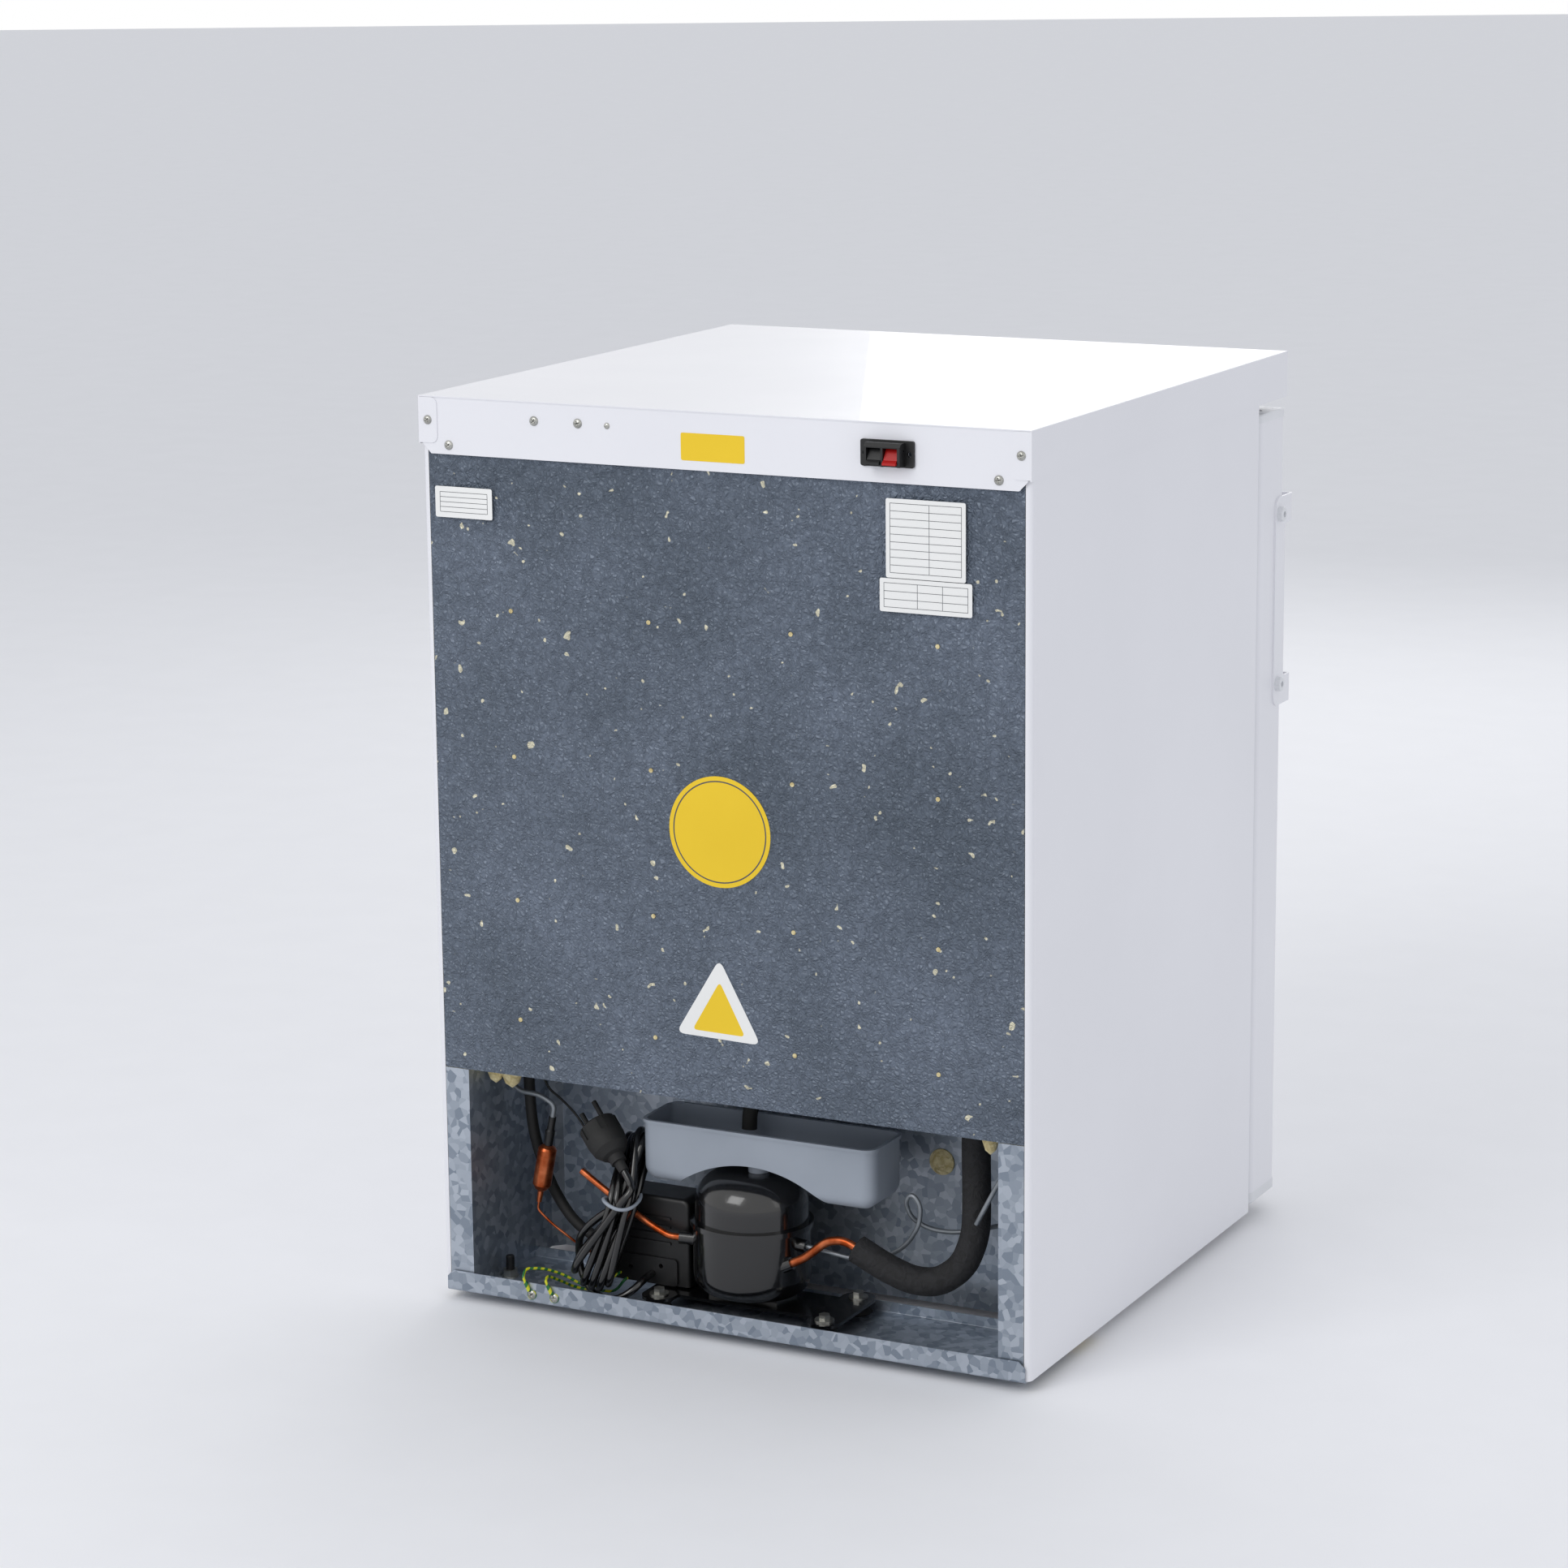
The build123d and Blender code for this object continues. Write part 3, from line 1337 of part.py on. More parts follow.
# Round earthed plug, held by its cord beside the tray, pins towards the bay wall
plug_middle = Vector(141, 264, 160)
plug_way = Vector(0.686, -0.311, 0.653).normalized()
plug_radius = 18.5
plug_back = 30
plug_front = 24
plug_pin_radius = 2.4
plug_pin_length = 19
plug_pin_pitch = 19
cord_radius = 3.5
with BuildPart() as mains_plug:
    plug_end = plug_middle - plug_way * plug_back
    plug_total = plug_back + plug_front
    turned(
        tuple(plug_end),
        tuple(plug_way),
        [
            (0, 0),
            (4.6, 0),
            (5.2, 10),
            (7.5, 10),
            (8, 17),
            (12, 19),
            (17, 26),
            (plug_radius, 36),
            (plug_radius, plug_total - 1.5),
            (plug_radius - 1.5, plug_total),
            (0, plug_total),
        ],
    )
    with BuildSketch(Plane(origin=plug_middle + plug_way * plug_front, z_dir=plug_way)):
        with PolarLocations(plug_radius, 6, start_angle=20):
            Rectangle(3.2, 6)
    extrude(amount=-14, mode=Mode.SUBTRACT)
    with BuildSketch(Plane(origin=plug_middle + plug_way * plug_front, z_dir=plug_way)):
        with GridLocations(plug_pin_pitch, 1, 2, 1):
            Circle(plug_pin_radius)
    extrude(amount=plug_pin_length)
save(mains_plug, "mains_plug")

# Mains cord: hank of folded turns, the end to the plug and the end to the clamp
hank_levels = ((18, 147, 58, 15), (44, 142, 56, 19), (84, 127, 38, 19), (124, 112, 17, 16))
hank_y = 276
hank_tie = (112, 269, 119)
hank_lean = Vector(8, -33, 50).normalized()
hank_loop_length = 56
with BuildPart() as cord_hank:
    for level, x, wide, deep in hank_levels:
        with BuildSketch(Plane.XY.offset(level)):
            with Locations((x, hank_y)):
                RectangleRounded(wide, deep, 0.4 * deep)
    loft()
    with BuildSketch(Plane(origin=hank_tie, x_dir=(0.987, 0.16, -0.05), z_dir=hank_lean)):
        RectangleRounded(8, 13, 3.5)
    extrude(amount=hank_loop_length)
save(cord_hank, "cord_hank")


def cord_run(name, points):
    # A free stretch of cord; prints its bend radii
    print(name, "radii", [round(radius) for radius in bend_radii(points)])
    with BuildPart() as run:
        length = tube([tuple(point) for point in points], cord_radius)
    print(name, "length", round(length), "volume", round(run.part.volume))
    save(run, name)


cord_run(
    "plug_cord",
    [plug_end, plug_end - plug_way * 8, (110, 276.5, 125), (109.5, 276.5, 110)],
)
cord_run(
    "feed_cord",
    [(146, 277, 26), (126, 276, 18), (110, 270, 23), (107, 264, 38), (107, clamp_back, 38)],
)

# Wire shelves on the liner ledges
frame_radius = 3.0
wire_radius_shelf = 1.5
cross_radius = 2.2
shelf_front = cabinet_front + ledge_margin + 8
shelf_back = 200
shelf_wires = 15
shelf_side = liner_side - frame_radius - 0.5
for name, level in (("wire_shelf_lower", ledge_levels[2]), ("wire_shelf_upper", ledge_levels[5])):
    with BuildPart() as shelf:
        rod_level = level + frame_radius
        with BuildLine(Plane.XY.offset(rod_level)) as rim:
            FilletPolyline(
                (-shelf_side, shelf_front),
                (shelf_side, shelf_front),
                (shelf_side, shelf_back),
                (-shelf_side, shelf_back),
                radius=14,
                close=True,
            )
        rim_path = rim.wires()[0]
        with BuildSketch(Plane(origin=rim_path @ 0, z_dir=rim_path % 0)):
            Circle(frame_radius)
        sweep(path=rim_path)
        wire_pitch = 2 * shelf_side / (shelf_wires + 1)
        wire_plane = Plane(origin=(0, shelf_front, rod_level), x_dir=(1, 0, 0), z_dir=(0, 1, 0))
        with BuildSketch(wire_plane):
            with GridLocations(wire_pitch, 1, shelf_wires, 1):
                Circle(wire_radius_shelf)
        extrude(amount=shelf_back - shelf_front)
        for cross_y in (shelf_front + 130, shelf_back - 130):
            with BuildSketch(Plane(origin=(-shelf_side, cross_y, rod_level), z_dir=(1, 0, 0))):
                Circle(cross_radius)
            extrude(amount=2 * shelf_side)
    save(shelf, name)

# Evaporator coil: serpentine tube through fins, carried by two end plates
coil_rows = (456, 477, 498, 519)
coil_y = 233
coil_half = 150
fin_count = 12
fin_pitch = 22
fin_sheet = 1.0
fin_depth = 24
fin_low = 446
fin_high = 529
with BuildPart() as evaporator_coil:
    route = []
    for number, level in enumerate(coil_rows):
        ends_x = (-coil_half, coil_half) if number % 2 == 0 else (coil_half, -coil_half)
        route += [(x, coil_y, level) for x in ends_x]
    tube(route, 4)
    with BuildSketch(Plane.YZ):
        with Locations((coil_y, (fin_low + fin_high) / 2)):
            Rectangle(fin_depth, fin_high - fin_low)
    fin = extrude(amount=fin_sheet, mode=Mode.PRIVATE)
    for number in range(fin_count):
        x = (number - (fin_count - 1) / 2) * fin_pitch
        add(fin.moved(Location((x, 0, 0))))
    for hand in (1, -1):
        plate_x = hand * (coil_half - 14)
        block(
            (plate_x - fin_sheet, coil_y - fin_depth / 2, fin_low),
            (plate_x + fin_sheet, liner_back, fin_high),
        )
save(evaporator_coil, "evaporator_coil")

# Evaporator cover: deep pan with a fan grille and return-air slots
cover_front = 212
cover_wall = 1.5
cover_half = 180
cover_low = 430
cover_high = 740
fan_level = 650
fan_opening = 52
with BuildPart() as evaporator_cover:
    fan_middle = (cover_low + cover_high) / 2
    with BuildSketch(rear_view(cover_front)):
        with Locations((0, fan_middle)):
            RectangleRounded(2 * cover_half, cover_high - cover_low, 12)
    extrude(amount=liner_back - cover_front)
    fillet(evaporator_cover.faces().sort_by(Axis.Y)[0].edges(), 4)
    offset(amount=-cover_wall, openings=evaporator_cover.faces().sort_by(Axis.Y)[-1])
    with BuildSketch(rear_view(cover_front)):
        with Locations((0, fan_level)):
            Circle(fan_opening)
            for radius in (16, 28, 40):
                Circle(radius, mode=Mode.SUBTRACT)
                Circle(radius - 2.5)
            with PolarLocations(0, 4, start_angle=45):
                Rectangle(2 * fan_opening + 4, 3, mode=Mode.SUBTRACT)
            Circle(14, mode=Mode.SUBTRACT)
    extrude(amount=cover_wall, mode=Mode.SUBTRACT)
    with BuildSketch(rear_view(cover_front)):
        with Locations((0, fin_low + 14)):
            with GridLocations(20, 1, 13, 1):
                SlotOverall(34, 6, rotation=90)
    extrude(amount=cover_wall, mode=Mode.SUBTRACT)
save(evaporator_cover, "evaporator_cover")

# Fan motor on the liner's rear wall, shaft forward
shaft_radius = 2.0
motor_front = 234
rotor_back = 230
rotor_front = 217
shaft_end = rotor_front + 3
with BuildPart() as fan_motor:
    turned(
        (0, liner_back, fan_level),
        (0, -1, 0),
        [
            (0, 0),
            (24, 0),
            (24, 2),
            (19, 3),
            (19, 14),
            (15, liner_back - motor_front),
            (shaft_radius, liner_back - motor_front),
            (shaft_radius, liner_back - shaft_end),
            (0, liner_back - shaft_end),
        ],
    )
save(fan_motor, "fan_motor")

# Fan rotor: hub with a running bore and five twisted blades
blade_count = 5
blade_root = 12
blade_tip = 46
hub_radius = 14
blade_y = (rotor_front + rotor_back) / 2
with BuildPart() as fan_rotor:
    turned(
        (0, rotor_back, fan_level),
        (0, -1, 0),
        [
            (0, 0),
            (hub_radius, 0),
            (hub_radius, rotor_back - rotor_front - 2),
            (hub_radius - 3, rotor_back - rotor_front),
            (0, rotor_back - rotor_front),
        ],
    )
    hub_plane = Plane(origin=(0, rotor_back, fan_level), x_dir=(1, 0, 0), z_dir=(0, -1, 0))
    for number in range(blade_count):
        turn = 360 * number / blade_count
        out = Vector(cos(radians(turn)), 0, sin(radians(turn)))
        with BuildPart(mode=Mode.PRIVATE) as blade:
            for reach, chord, pitch in ((blade_root, 18, 34), (blade_tip, 34, 16)):
                origin = Vector(0, blade_y, fan_level) + out * reach
                with BuildSketch(Plane(origin=origin, x_dir=(0, 1, 0), z_dir=out)):
                    Rectangle(1.6, chord, rotation=90 - pitch - 90)
            loft()
        add(blade.part)
    bore_length = rotor_back - shaft_end + 1
    discs(hub_plane, [(0, 0)], shaft_radius + fit_clearance, bore_length, Mode.SUBTRACT)
save(fan_rotor, "fan_rotor")

# Air temperature probe in its clip on the liner wall
with BuildPart() as temperature_probe:
    probe_y = 120
    probe_level = 590
    block((-liner_side, probe_y - 8, probe_level - 6), (-liner_side + 12, probe_y + 8, probe_level + 6))
    turned(
        (-liner_side + 7, probe_y, probe_level - 22),
        (0, 0, 1),
        [(0, 0), (2.2, 0), (3, 2), (3, 40), (2, 44), (0, 44)],
    )
save(temperature_probe, "temperature_probe")
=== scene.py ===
import math

import bmesh
import bpy
from mathutils import Matrix, Vector


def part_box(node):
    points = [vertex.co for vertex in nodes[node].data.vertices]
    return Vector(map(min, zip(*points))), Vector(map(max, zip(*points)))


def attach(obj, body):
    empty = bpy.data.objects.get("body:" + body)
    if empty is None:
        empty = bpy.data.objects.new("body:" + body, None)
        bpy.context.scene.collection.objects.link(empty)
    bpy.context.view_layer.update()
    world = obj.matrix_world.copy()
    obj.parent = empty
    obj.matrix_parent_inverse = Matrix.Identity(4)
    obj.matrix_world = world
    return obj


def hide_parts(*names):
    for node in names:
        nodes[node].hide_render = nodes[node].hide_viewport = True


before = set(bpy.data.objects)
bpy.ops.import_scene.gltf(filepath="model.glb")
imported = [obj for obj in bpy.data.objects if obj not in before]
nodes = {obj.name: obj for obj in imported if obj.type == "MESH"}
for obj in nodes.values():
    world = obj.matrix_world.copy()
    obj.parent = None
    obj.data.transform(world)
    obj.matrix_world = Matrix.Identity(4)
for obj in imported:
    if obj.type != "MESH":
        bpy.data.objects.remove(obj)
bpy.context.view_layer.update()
mm = 0.001


def spot(x, y, z):
    return Vector((x * mm, y * mm, z * mm))


def tint(red, green, blue):
    # Colour as seen on a screen, given to the shaders as light
    light = [c / 12.92 if c < 0.04045 else ((c + 0.055) / 1.055) ** 2.4 for c in (red, green, blue)]
    return light + [1.0]


# Camera that took the photograph
view = {
    "place": (-1.75549, 3.6009, 1.34829),
    "turn": 207.154,
    "rise": 12.488,
    "roll": -0.5869,
    "lens": 99.69,
    "sensor": 36,
    "reach": 30,
}


def setCamera():
    turn, rise, roll = (math.radians(view[key]) for key in ("turn", "rise", "roll"))
    back = Vector((math.sin(turn) * math.cos(rise), -math.cos(turn) * math.cos(rise), math.sin(rise)))
    right = Vector((math.cos(turn), math.sin(turn), 0))
    up = back.cross(right)
    side = math.cos(roll) * right + math.sin(roll) * up
    top = -math.sin(roll) * right + math.cos(roll) * up
    camera = bpy.data.objects.new("camera", bpy.data.cameras.new("camera"))
    bpy.context.scene.collection.objects.link(camera)
    camera.data.lens = view["lens"]
    camera.data.sensor_width = view["sensor"]
    camera.data.clip_end = view["reach"]
    axes = Matrix((side, top, back)).transposed().to_4x4()
    camera.matrix_world = Matrix.Translation(view["place"]) @ axes
    bpy.context.scene.camera = camera
    bpy.context.scene.view_settings.view_transform = "Standard"


setCamera()

# Mains cord: a hank of folded turns, held by a tie
cord = {"diameter": 0.007, "length": 1.94}
cordStart = [
    (104, 252.5, 38), (104, 267, 37.5), (109, 281, 29), (125, 287, 18.5), (146, 279, 17.5), (163, 269, 20),
    (173.5, 265.5, 36), (174, 267, 55), (168, 274.5, 73), (149.7, 279.8, 91), (128.5, 272.5, 106.5),
    (122, 268.5, 123.5),
]
cordEnd = [
    (125, 290.5, 101), (114, 290, 117), (106.5, 285, 126), (110.5, 278.5, 131), (120.4, 273.3, 140.4),
]
# Steps from a crest and from a heel to the route's points around it
crestWay = [(-3, 14, -4), (0, 0, 0), (0, -6.5, -8), (-1, -1, -21.5)]
heelWay = [(-2.5, -8.5, 13.5), (0, 0, 0), (-5, 10, -1), (-12.5, 17, 12.5)]
tieLow = {"down": 100, "up": 101}
tieHigh = {"down": 120, "up": 123}
tieLean = (2, 6.5)
# Each turn of the hank: its crest, where it goes down through the tie, its heel, and where it comes up
# below and above the tie
hankTurns = [
    ((116.5, 237, 165.5), (113.5, 259), (138, 275, 32.5), (113.5, 287.5), (111, 277)),
    ((123.5, 234, 170.5), (117.5, 266), (147, 275.5, 27.5), (115.5, 280), (110.5, 270.5)),
    ((132.5, 224.5, 162.5), (119.5, 257), (156, 275, 27), (124.5, 283.5), (126, 276.5)),
    ((140, 218, 158), (125, 262), (164.5, 275, 29.5), (132, 283), (132.5, 273.5)),
    ((148.5, 211, 156), (132, 257.5), (172.5, 277, 41.5), None, None),
]


def hankRoute():
    route = [spot(*point) for point in cordStart]
    for crest, down, heel, low, high in hankTurns:
        route += [spot(*crest) + spot(*step) for step in crestWay]
        route.append(spot(*down, tieHigh["down"]))
        route.append(spot(down[0] + tieLean[0], down[1] + tieLean[1], tieLow["down"]))
        route += [spot(*heel) + spot(*step) for step in heelWay]
        if low:
            route += [spot(*low, tieLow["up"]), spot(*high, tieHigh["up"])]
    return route + [spot(*point) for point in cordEnd]


def splineCurve(name, route, radius):
    curve = bpy.data.curves.new(name, "CURVE")
    curve.dimensions = "3D"
    line = curve.splines.new("NURBS")
    line.points.add(len(route) - 1)
    for place, point in zip(line.points, route):
        place.co = (*point, 1)
    line.order_u = 3
    line.use_endpoint_u = True
    line.resolution_u = 10
    curve.bevel_depth = radius
    curve.bevel_resolution = 5
    curve.use_fill_caps = True
    piece = bpy.data.objects.new(name, curve)
    bpy.context.scene.collection.objects.link(piece)
    return piece


def shaderStart(name):
    material = bpy.data.materials.new(name)
    material.use_nodes = True
    tree = material.node_tree
    shader = tree.nodes["Principled BSDF"]
    place = tree.nodes.new("ShaderNodeTexCoord")
    return material, tree, shader, place.outputs["Object"]


def noise(tree, where, scale, detail=4, distortion=0):
    grain = tree.nodes.new("ShaderNodeTexNoise")
    grain.inputs["Scale"].default_value = scale
    grain.inputs["Detail"].default_value = detail
    grain.inputs["Distortion"].default_value = distortion
    tree.links.new(where, grain.inputs["Vector"])
    return grain.outputs["Fac"]


def ramp(tree, value, stops):
    scale = tree.nodes.new("ShaderNodeValToRGB")
    ends = scale.color_ramp.elements
    ends[0].position, ends[0].color = stops[0][0], tint(*stops[0][1])
    ends[1].position, ends[1].color = stops[-1][0], tint(*stops[-1][1])
    for at, colour in stops[1:-1]:
        ends.new(at).color = tint(*colour)
    tree.links.new(value, scale.inputs["Fac"])
    return scale.outputs["Color"]


def emboss(tree, shader, height, depth, strength=1.0):
    bump = tree.nodes.new("ShaderNodeBump")
    bump.inputs["Distance"].default_value = depth
    bump.inputs["Strength"].default_value = strength
    tree.links.new(height, bump.inputs["Height"])
    tree.links.new(bump.outputs["Normal"], shader.inputs["Normal"])


roughSpread = 0.07


def finish(name, colour, rough, metal=0.0, shade=0.06, patch=12, grain=900, depth=0.00003, coat=0.0):
    # A surface with slow changes of shade and roughness, and a fine grain
    material, tree, shader, where = shaderStart(name)
    darker = tuple(max(c - shade, 0) for c in colour)
    slow = noise(tree, where, patch, 5)
    tree.links.new(ramp(tree, slow, [(0.35, darker), (0.65, colour)]), shader.inputs["Base Color"])
    spread = tree.nodes.new("ShaderNodeMapRange")
    spread.inputs["To Min"].default_value = max(rough - roughSpread, 0.02)
    spread.inputs["To Max"].default_value = min(rough + roughSpread, 1)
    tree.links.new(noise(tree, where, patch * 6, 3), spread.inputs["Value"])
    tree.links.new(spread.outputs["Result"], shader.inputs["Roughness"])
    shader.inputs["Metallic"].default_value = metal
    shader.inputs["Coat Weight"].default_value = coat
    emboss(tree, shader, noise(tree, where, grain, 2), depth)
    return material


slate = {
    "rough": 0.42,
    "metal": 0.25,
    "cells": 260,
    "wander": 70,
    "bend": 0.012,
    "ridge": 0.004,
    "dark": (0.33, 0.37, 0.42),
    "light": (0.42, 0.46, 0.52),
    "foamDot": (0.86, 0.84, 0.74),
    "dotScale": 95,
}


def embossedSlate():
    # Leather-grained sheet with stray dots of cured foam
    material, tree, shader, where = shaderStart("embossed_slate")
    shader.inputs["Roughness"].default_value = slate["rough"]
    shader.inputs["Metallic"].default_value = slate["metal"]
    cells = tree.nodes.new("ShaderNodeTexVoronoi")
    cells.feature = "DISTANCE_TO_EDGE"
    cells.inputs["Scale"].default_value = slate["cells"]
    bend = tree.nodes.new("ShaderNodeVectorMath")
    bend.operation = "MULTIPLY_ADD"
    bend.inputs[1].default_value = (slate["bend"],) * 3
    wander = tree.nodes.new("ShaderNodeTexNoise")
    wander.inputs["Scale"].default_value = slate["wander"]
    tree.links.new(where, wander.inputs["Vector"])
    tree.links.new(wander.outputs["Color"], bend.inputs[0])
    tree.links.new(where, bend.inputs[2])
    tree.links.new(bend.outputs["Vector"], cells.inputs["Vector"])
    base = ramp(tree, noise(tree, where, 7, 6), [(0.3, slate["dark"]), (0.7, slate["light"])])
    spots = noise(tree, where, slate["dotScale"], 1)
    dots = ramp(tree, spots, [(0.74, (0, 0, 0)), (0.76, (1, 1, 1))])
    mix = tree.nodes.new("ShaderNodeMix")
    mix.data_type = "RGBA"
    tree.links.new(dots, mix.inputs["Factor"])
    colourIn = [socket for socket in mix.inputs if socket.type == "RGBA"]
    colourIn[1].default_value = tint(*slate["foamDot"])
    tree.links.new(base, colourIn[0])
    colourOut = [socket for socket in mix.outputs if socket.type == "RGBA"][0]
    tree.links.new(colourOut, shader.inputs["Base Color"])
    emboss(tree, shader, cells.outputs["Distance"], slate["ridge"], 0.9)
    return material


def spangledZinc(name, light, dark):
    # Galvanised sheet: flat crystals of slightly different grey
    material, tree, shader, where = shaderStart(name)
    shader.inputs["Metallic"].default_value = 0.75
    shader.inputs["Roughness"].default_value = 0.42
    cells = tree.nodes.new("ShaderNodeTexVoronoi")
    cells.inputs["Scale"].default_value = 140
    tree.links.new(where, cells.inputs["Vector"])
    greys = ramp(tree, cells.outputs["Color"], [(0.2, dark), (0.8, light)])
    tree.links.new(greys, shader.inputs["Base Color"])
    emboss(tree, shader, noise(tree, where, 400, 3), 0.00004)
    return material


def curedFoam():
    material, tree, shader, where = shaderStart("cured_foam")
    shader.inputs["Roughness"].default_value = 0.85
    lumps = noise(tree, where, 160, 6, 0.6)
    colours = [(0.3, (0.74, 0.66, 0.44)), (0.7, (0.93, 0.88, 0.70))]
    tree.links.new(ramp(tree, lumps, colours), shader.inputs["Base Color"])
    emboss(tree, shader, lumps, 0.003)
    return material


def wrinkledSleeve():
    material, tree, shader, where = shaderStart("wrinkled_sleeve")
    shader.inputs["Roughness"].default_value = 0.8
    folds = noise(tree, where, 120, 4, 1.2)
    colours = [(0.3, (0.06, 0.06, 0.065)), (0.7, (0.13, 0.13, 0.14))]
    tree.links.new(ramp(tree, folds, colours), shader.inputs["Base Color"])
    emboss(tree, shader, folds, 0.002)
    return material


def stripedLead():
    material, tree, shader, where = shaderStart("striped_lead")
    shader.inputs["Roughness"].default_value = 0.38
    bands = tree.nodes.new("ShaderNodeTexWave")
    bands.bands_direction = "DIAGONAL"
    bands.inputs["Scale"].default_value = 55
    tree.links.new(where, bands.inputs["Vector"])
    colours = [(0.48, (0.80, 0.80, 0.12)), (0.54, (0.10, 0.42, 0.20))]
    tree.links.new(ramp(tree, bands.outputs["Fac"], colours), shader.inputs["Base Color"])
    emboss(tree, shader, noise(tree, where, 500, 2), 0.00003)
    return material


finishes = {
    "white_sheet": finish(
        "white_paint", (0.93, 0.93, 0.945), 0.36, shade=0.015, patch=3, grain=1100, coat=0.2
    ),
    "slate_sheet": embossedSlate(),
    "galvanised": spangledZinc("galvanised", (0.70, 0.73, 0.77), (0.52, 0.56, 0.61)),
    "foam": curedFoam(),
    "liner_plastic": finish("liner_plastic", (0.92, 0.93, 0.94), 0.3, shade=0.02, patch=4, grain=300),
    "cap_plastic": finish("cap_plastic", (0.90, 0.905, 0.915), 0.42, shade=0.02, grain=1200),
    "gasket_rubber": finish("gasket_rubber", (0.80, 0.81, 0.82), 0.62, shade=0.05, grain=700),
    "black_plastic": finish(
        "black_plastic", (0.085, 0.085, 0.09), 0.42, shade=0.03, grain=1400, depth=0.00006
    ),
    "red_plastic": finish("red_plastic", (0.72, 0.08, 0.07), 0.35, shade=0.06, grain=900),
    "window": finish(
        "clear_window", (0.05, 0.06, 0.08), 0.08, shade=0.01, grain=50, depth=0.00001, coat=0.8
    ),
    "zinc_steel": finish("zinc_steel", (0.74, 0.74, 0.72), 0.3, metal=0.9, shade=0.14, patch=60, grain=800),
    "compressor_black": finish(
        "compressor_black", (0.06, 0.06, 0.065), 0.2, shade=0.03, grain=260, depth=0.0001, coat=0.6
    ),
    "copper": finish("copper", (0.80, 0.46, 0.30), 0.3, metal=0.9, shade=0.22, patch=70, grain=500),
    "steel_tube": finish("steel_tube", (0.55, 0.57, 0.59), 0.38, metal=0.6, shade=0.1, patch=40, grain=600),
    "foam_rubber": wrinkledSleeve(),
    "grey_plastic": finish("grey_plastic", (0.62, 0.65, 0.69), 0.45, shade=0.05, patch=8, grain=900),
    "black_rubber": finish("black_rubber", (0.10, 0.10, 0.10), 0.7, shade=0.04, grain=500, depth=0.0001),
    "earth_wire": stripedLead(),
    "chrome_wire": finish("chrome_wire", (0.82, 0.83, 0.84), 0.16, metal=1.0, shade=0.06, grain=300),
    "aluminium": finish("aluminium", (0.80, 0.81, 0.82), 0.34, metal=0.85, shade=0.06, patch=30, grain=900),
}


def paintNodes():
    missing = set()
    for name, node in nodes.items():
        for place in node.material_slots:
            slot = place.material.name.split(".")[0] if place.material else ""
            if slot in finishes:
                place.material = finishes[slot]
            else:
                missing.add((name, slot))
    print("finishes not found:", sorted(missing))


paintNodes()
print("nodes painted")


def addMesh(name, form, material, body, stands=(), smooth=False):
    mesh = bpy.data.meshes.new(name)
    bmesh.ops.recalc_face_normals(form, faces=form.faces)
    form.to_mesh(mesh)
    form.free()
    for face in mesh.polygons:
        face.use_smooth = smooth
    piece = bpy.data.objects.new(name, mesh)
    bpy.context.scene.collection.objects.link(piece)
    piece.data.materials.append(material)
    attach(piece, body)
    if stands:
        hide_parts(*stands)
    return piece


def addPrism(form, outline, near, far):
    # Closed plate across Y, from an outline of (x, z) in millimetres
    front = [form.verts.new(spot(x, near, z)) for x, z in outline]
    back = [form.verts.new(spot(x, far, z)) for x, z in outline]
    form.faces.new(front)
    form.faces.new(list(reversed(back)))
    count = len(outline)
    for i in range(count):
        j = (i + 1) % count
        form.faces.new((front[i], back[i], back[j], front[j]))


def roundedOutline(corners, radius, steps=6):
    # Outline of straight sides with each corner rounded by a curve
    outline = []
    for i, corner in enumerate(corners):
        here = Vector(corner)
        before = (Vector(corners[i - 1]) - here).normalized() * radius
        after = (Vector(corners[(i + 1) % len(corners)]) - here).normalized() * radius
        for step in range(steps + 1):
            t = step / steps
            outline.append(tuple(here + before * (1 - t) ** 2 + after * t ** 2))
    return outline


# Cord with its tie
hank = splineCurve("mains_cord", hankRoute(), cord["diameter"] / 2)
sheath = finish("cord_sheath", (0.05, 0.05, 0.055), 0.22, shade=0.02, grain=200, coat=0.5)
hank.data.materials.append(sheath)
tie = {"middle": (122.5, 274, 112), "wide": 16, "deep": 21, "rise": 3, "radius": 1.7, "steps": 28}


def tieLoop():
    ring = []
    for step in range(tie["steps"]):
        turn = math.tau * step / tie["steps"]
        ring.append(spot(
            tie["middle"][0] + tie["wide"] * math.cos(turn),
            tie["middle"][1] + tie["deep"] * math.sin(turn),
            tie["middle"][2] + tie["rise"] * math.sin(turn * 2),
        ))
    band = splineCurve("cord_tie", ring + ring[:2], tie["radius"] * mm)
    band.data.materials.append(finishes["grey_plastic"])
    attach(band, "cabinet")
    return band


tieBand = tieLoop()
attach(hank, "cabinet")
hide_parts("cord_hank", "plug_cord", "feed_cord")
print("cord made")

# Pan-head screws with a cross recess, set on points
screws = {
    "cover": {
        "y": 303,
        "radius": 4.4,
        "at": [(269.6, 807.3), (-269.6, 807.3), (181, 833.6), (136.5, 833.8)],
    },
    "small": {"y": 303, "radius": 2.9, "at": [(107, 833.2)]},
    "flap": {"y": 304, "radius": 4.2, "at": [(290.5, 829.25), (-290.5, 829.25)]},
    "earth": {"y": 303, "radius": 4.6, "at": [(204, 18), (180, 18)]},
}


# Recess sizes are shares of the head's radius
screwHead = {"flatten": 0.55, "slotLong": 1.1, "slotDeep": 0.8, "slotWide": 0.24, "slotRise": 2.6 * mm}


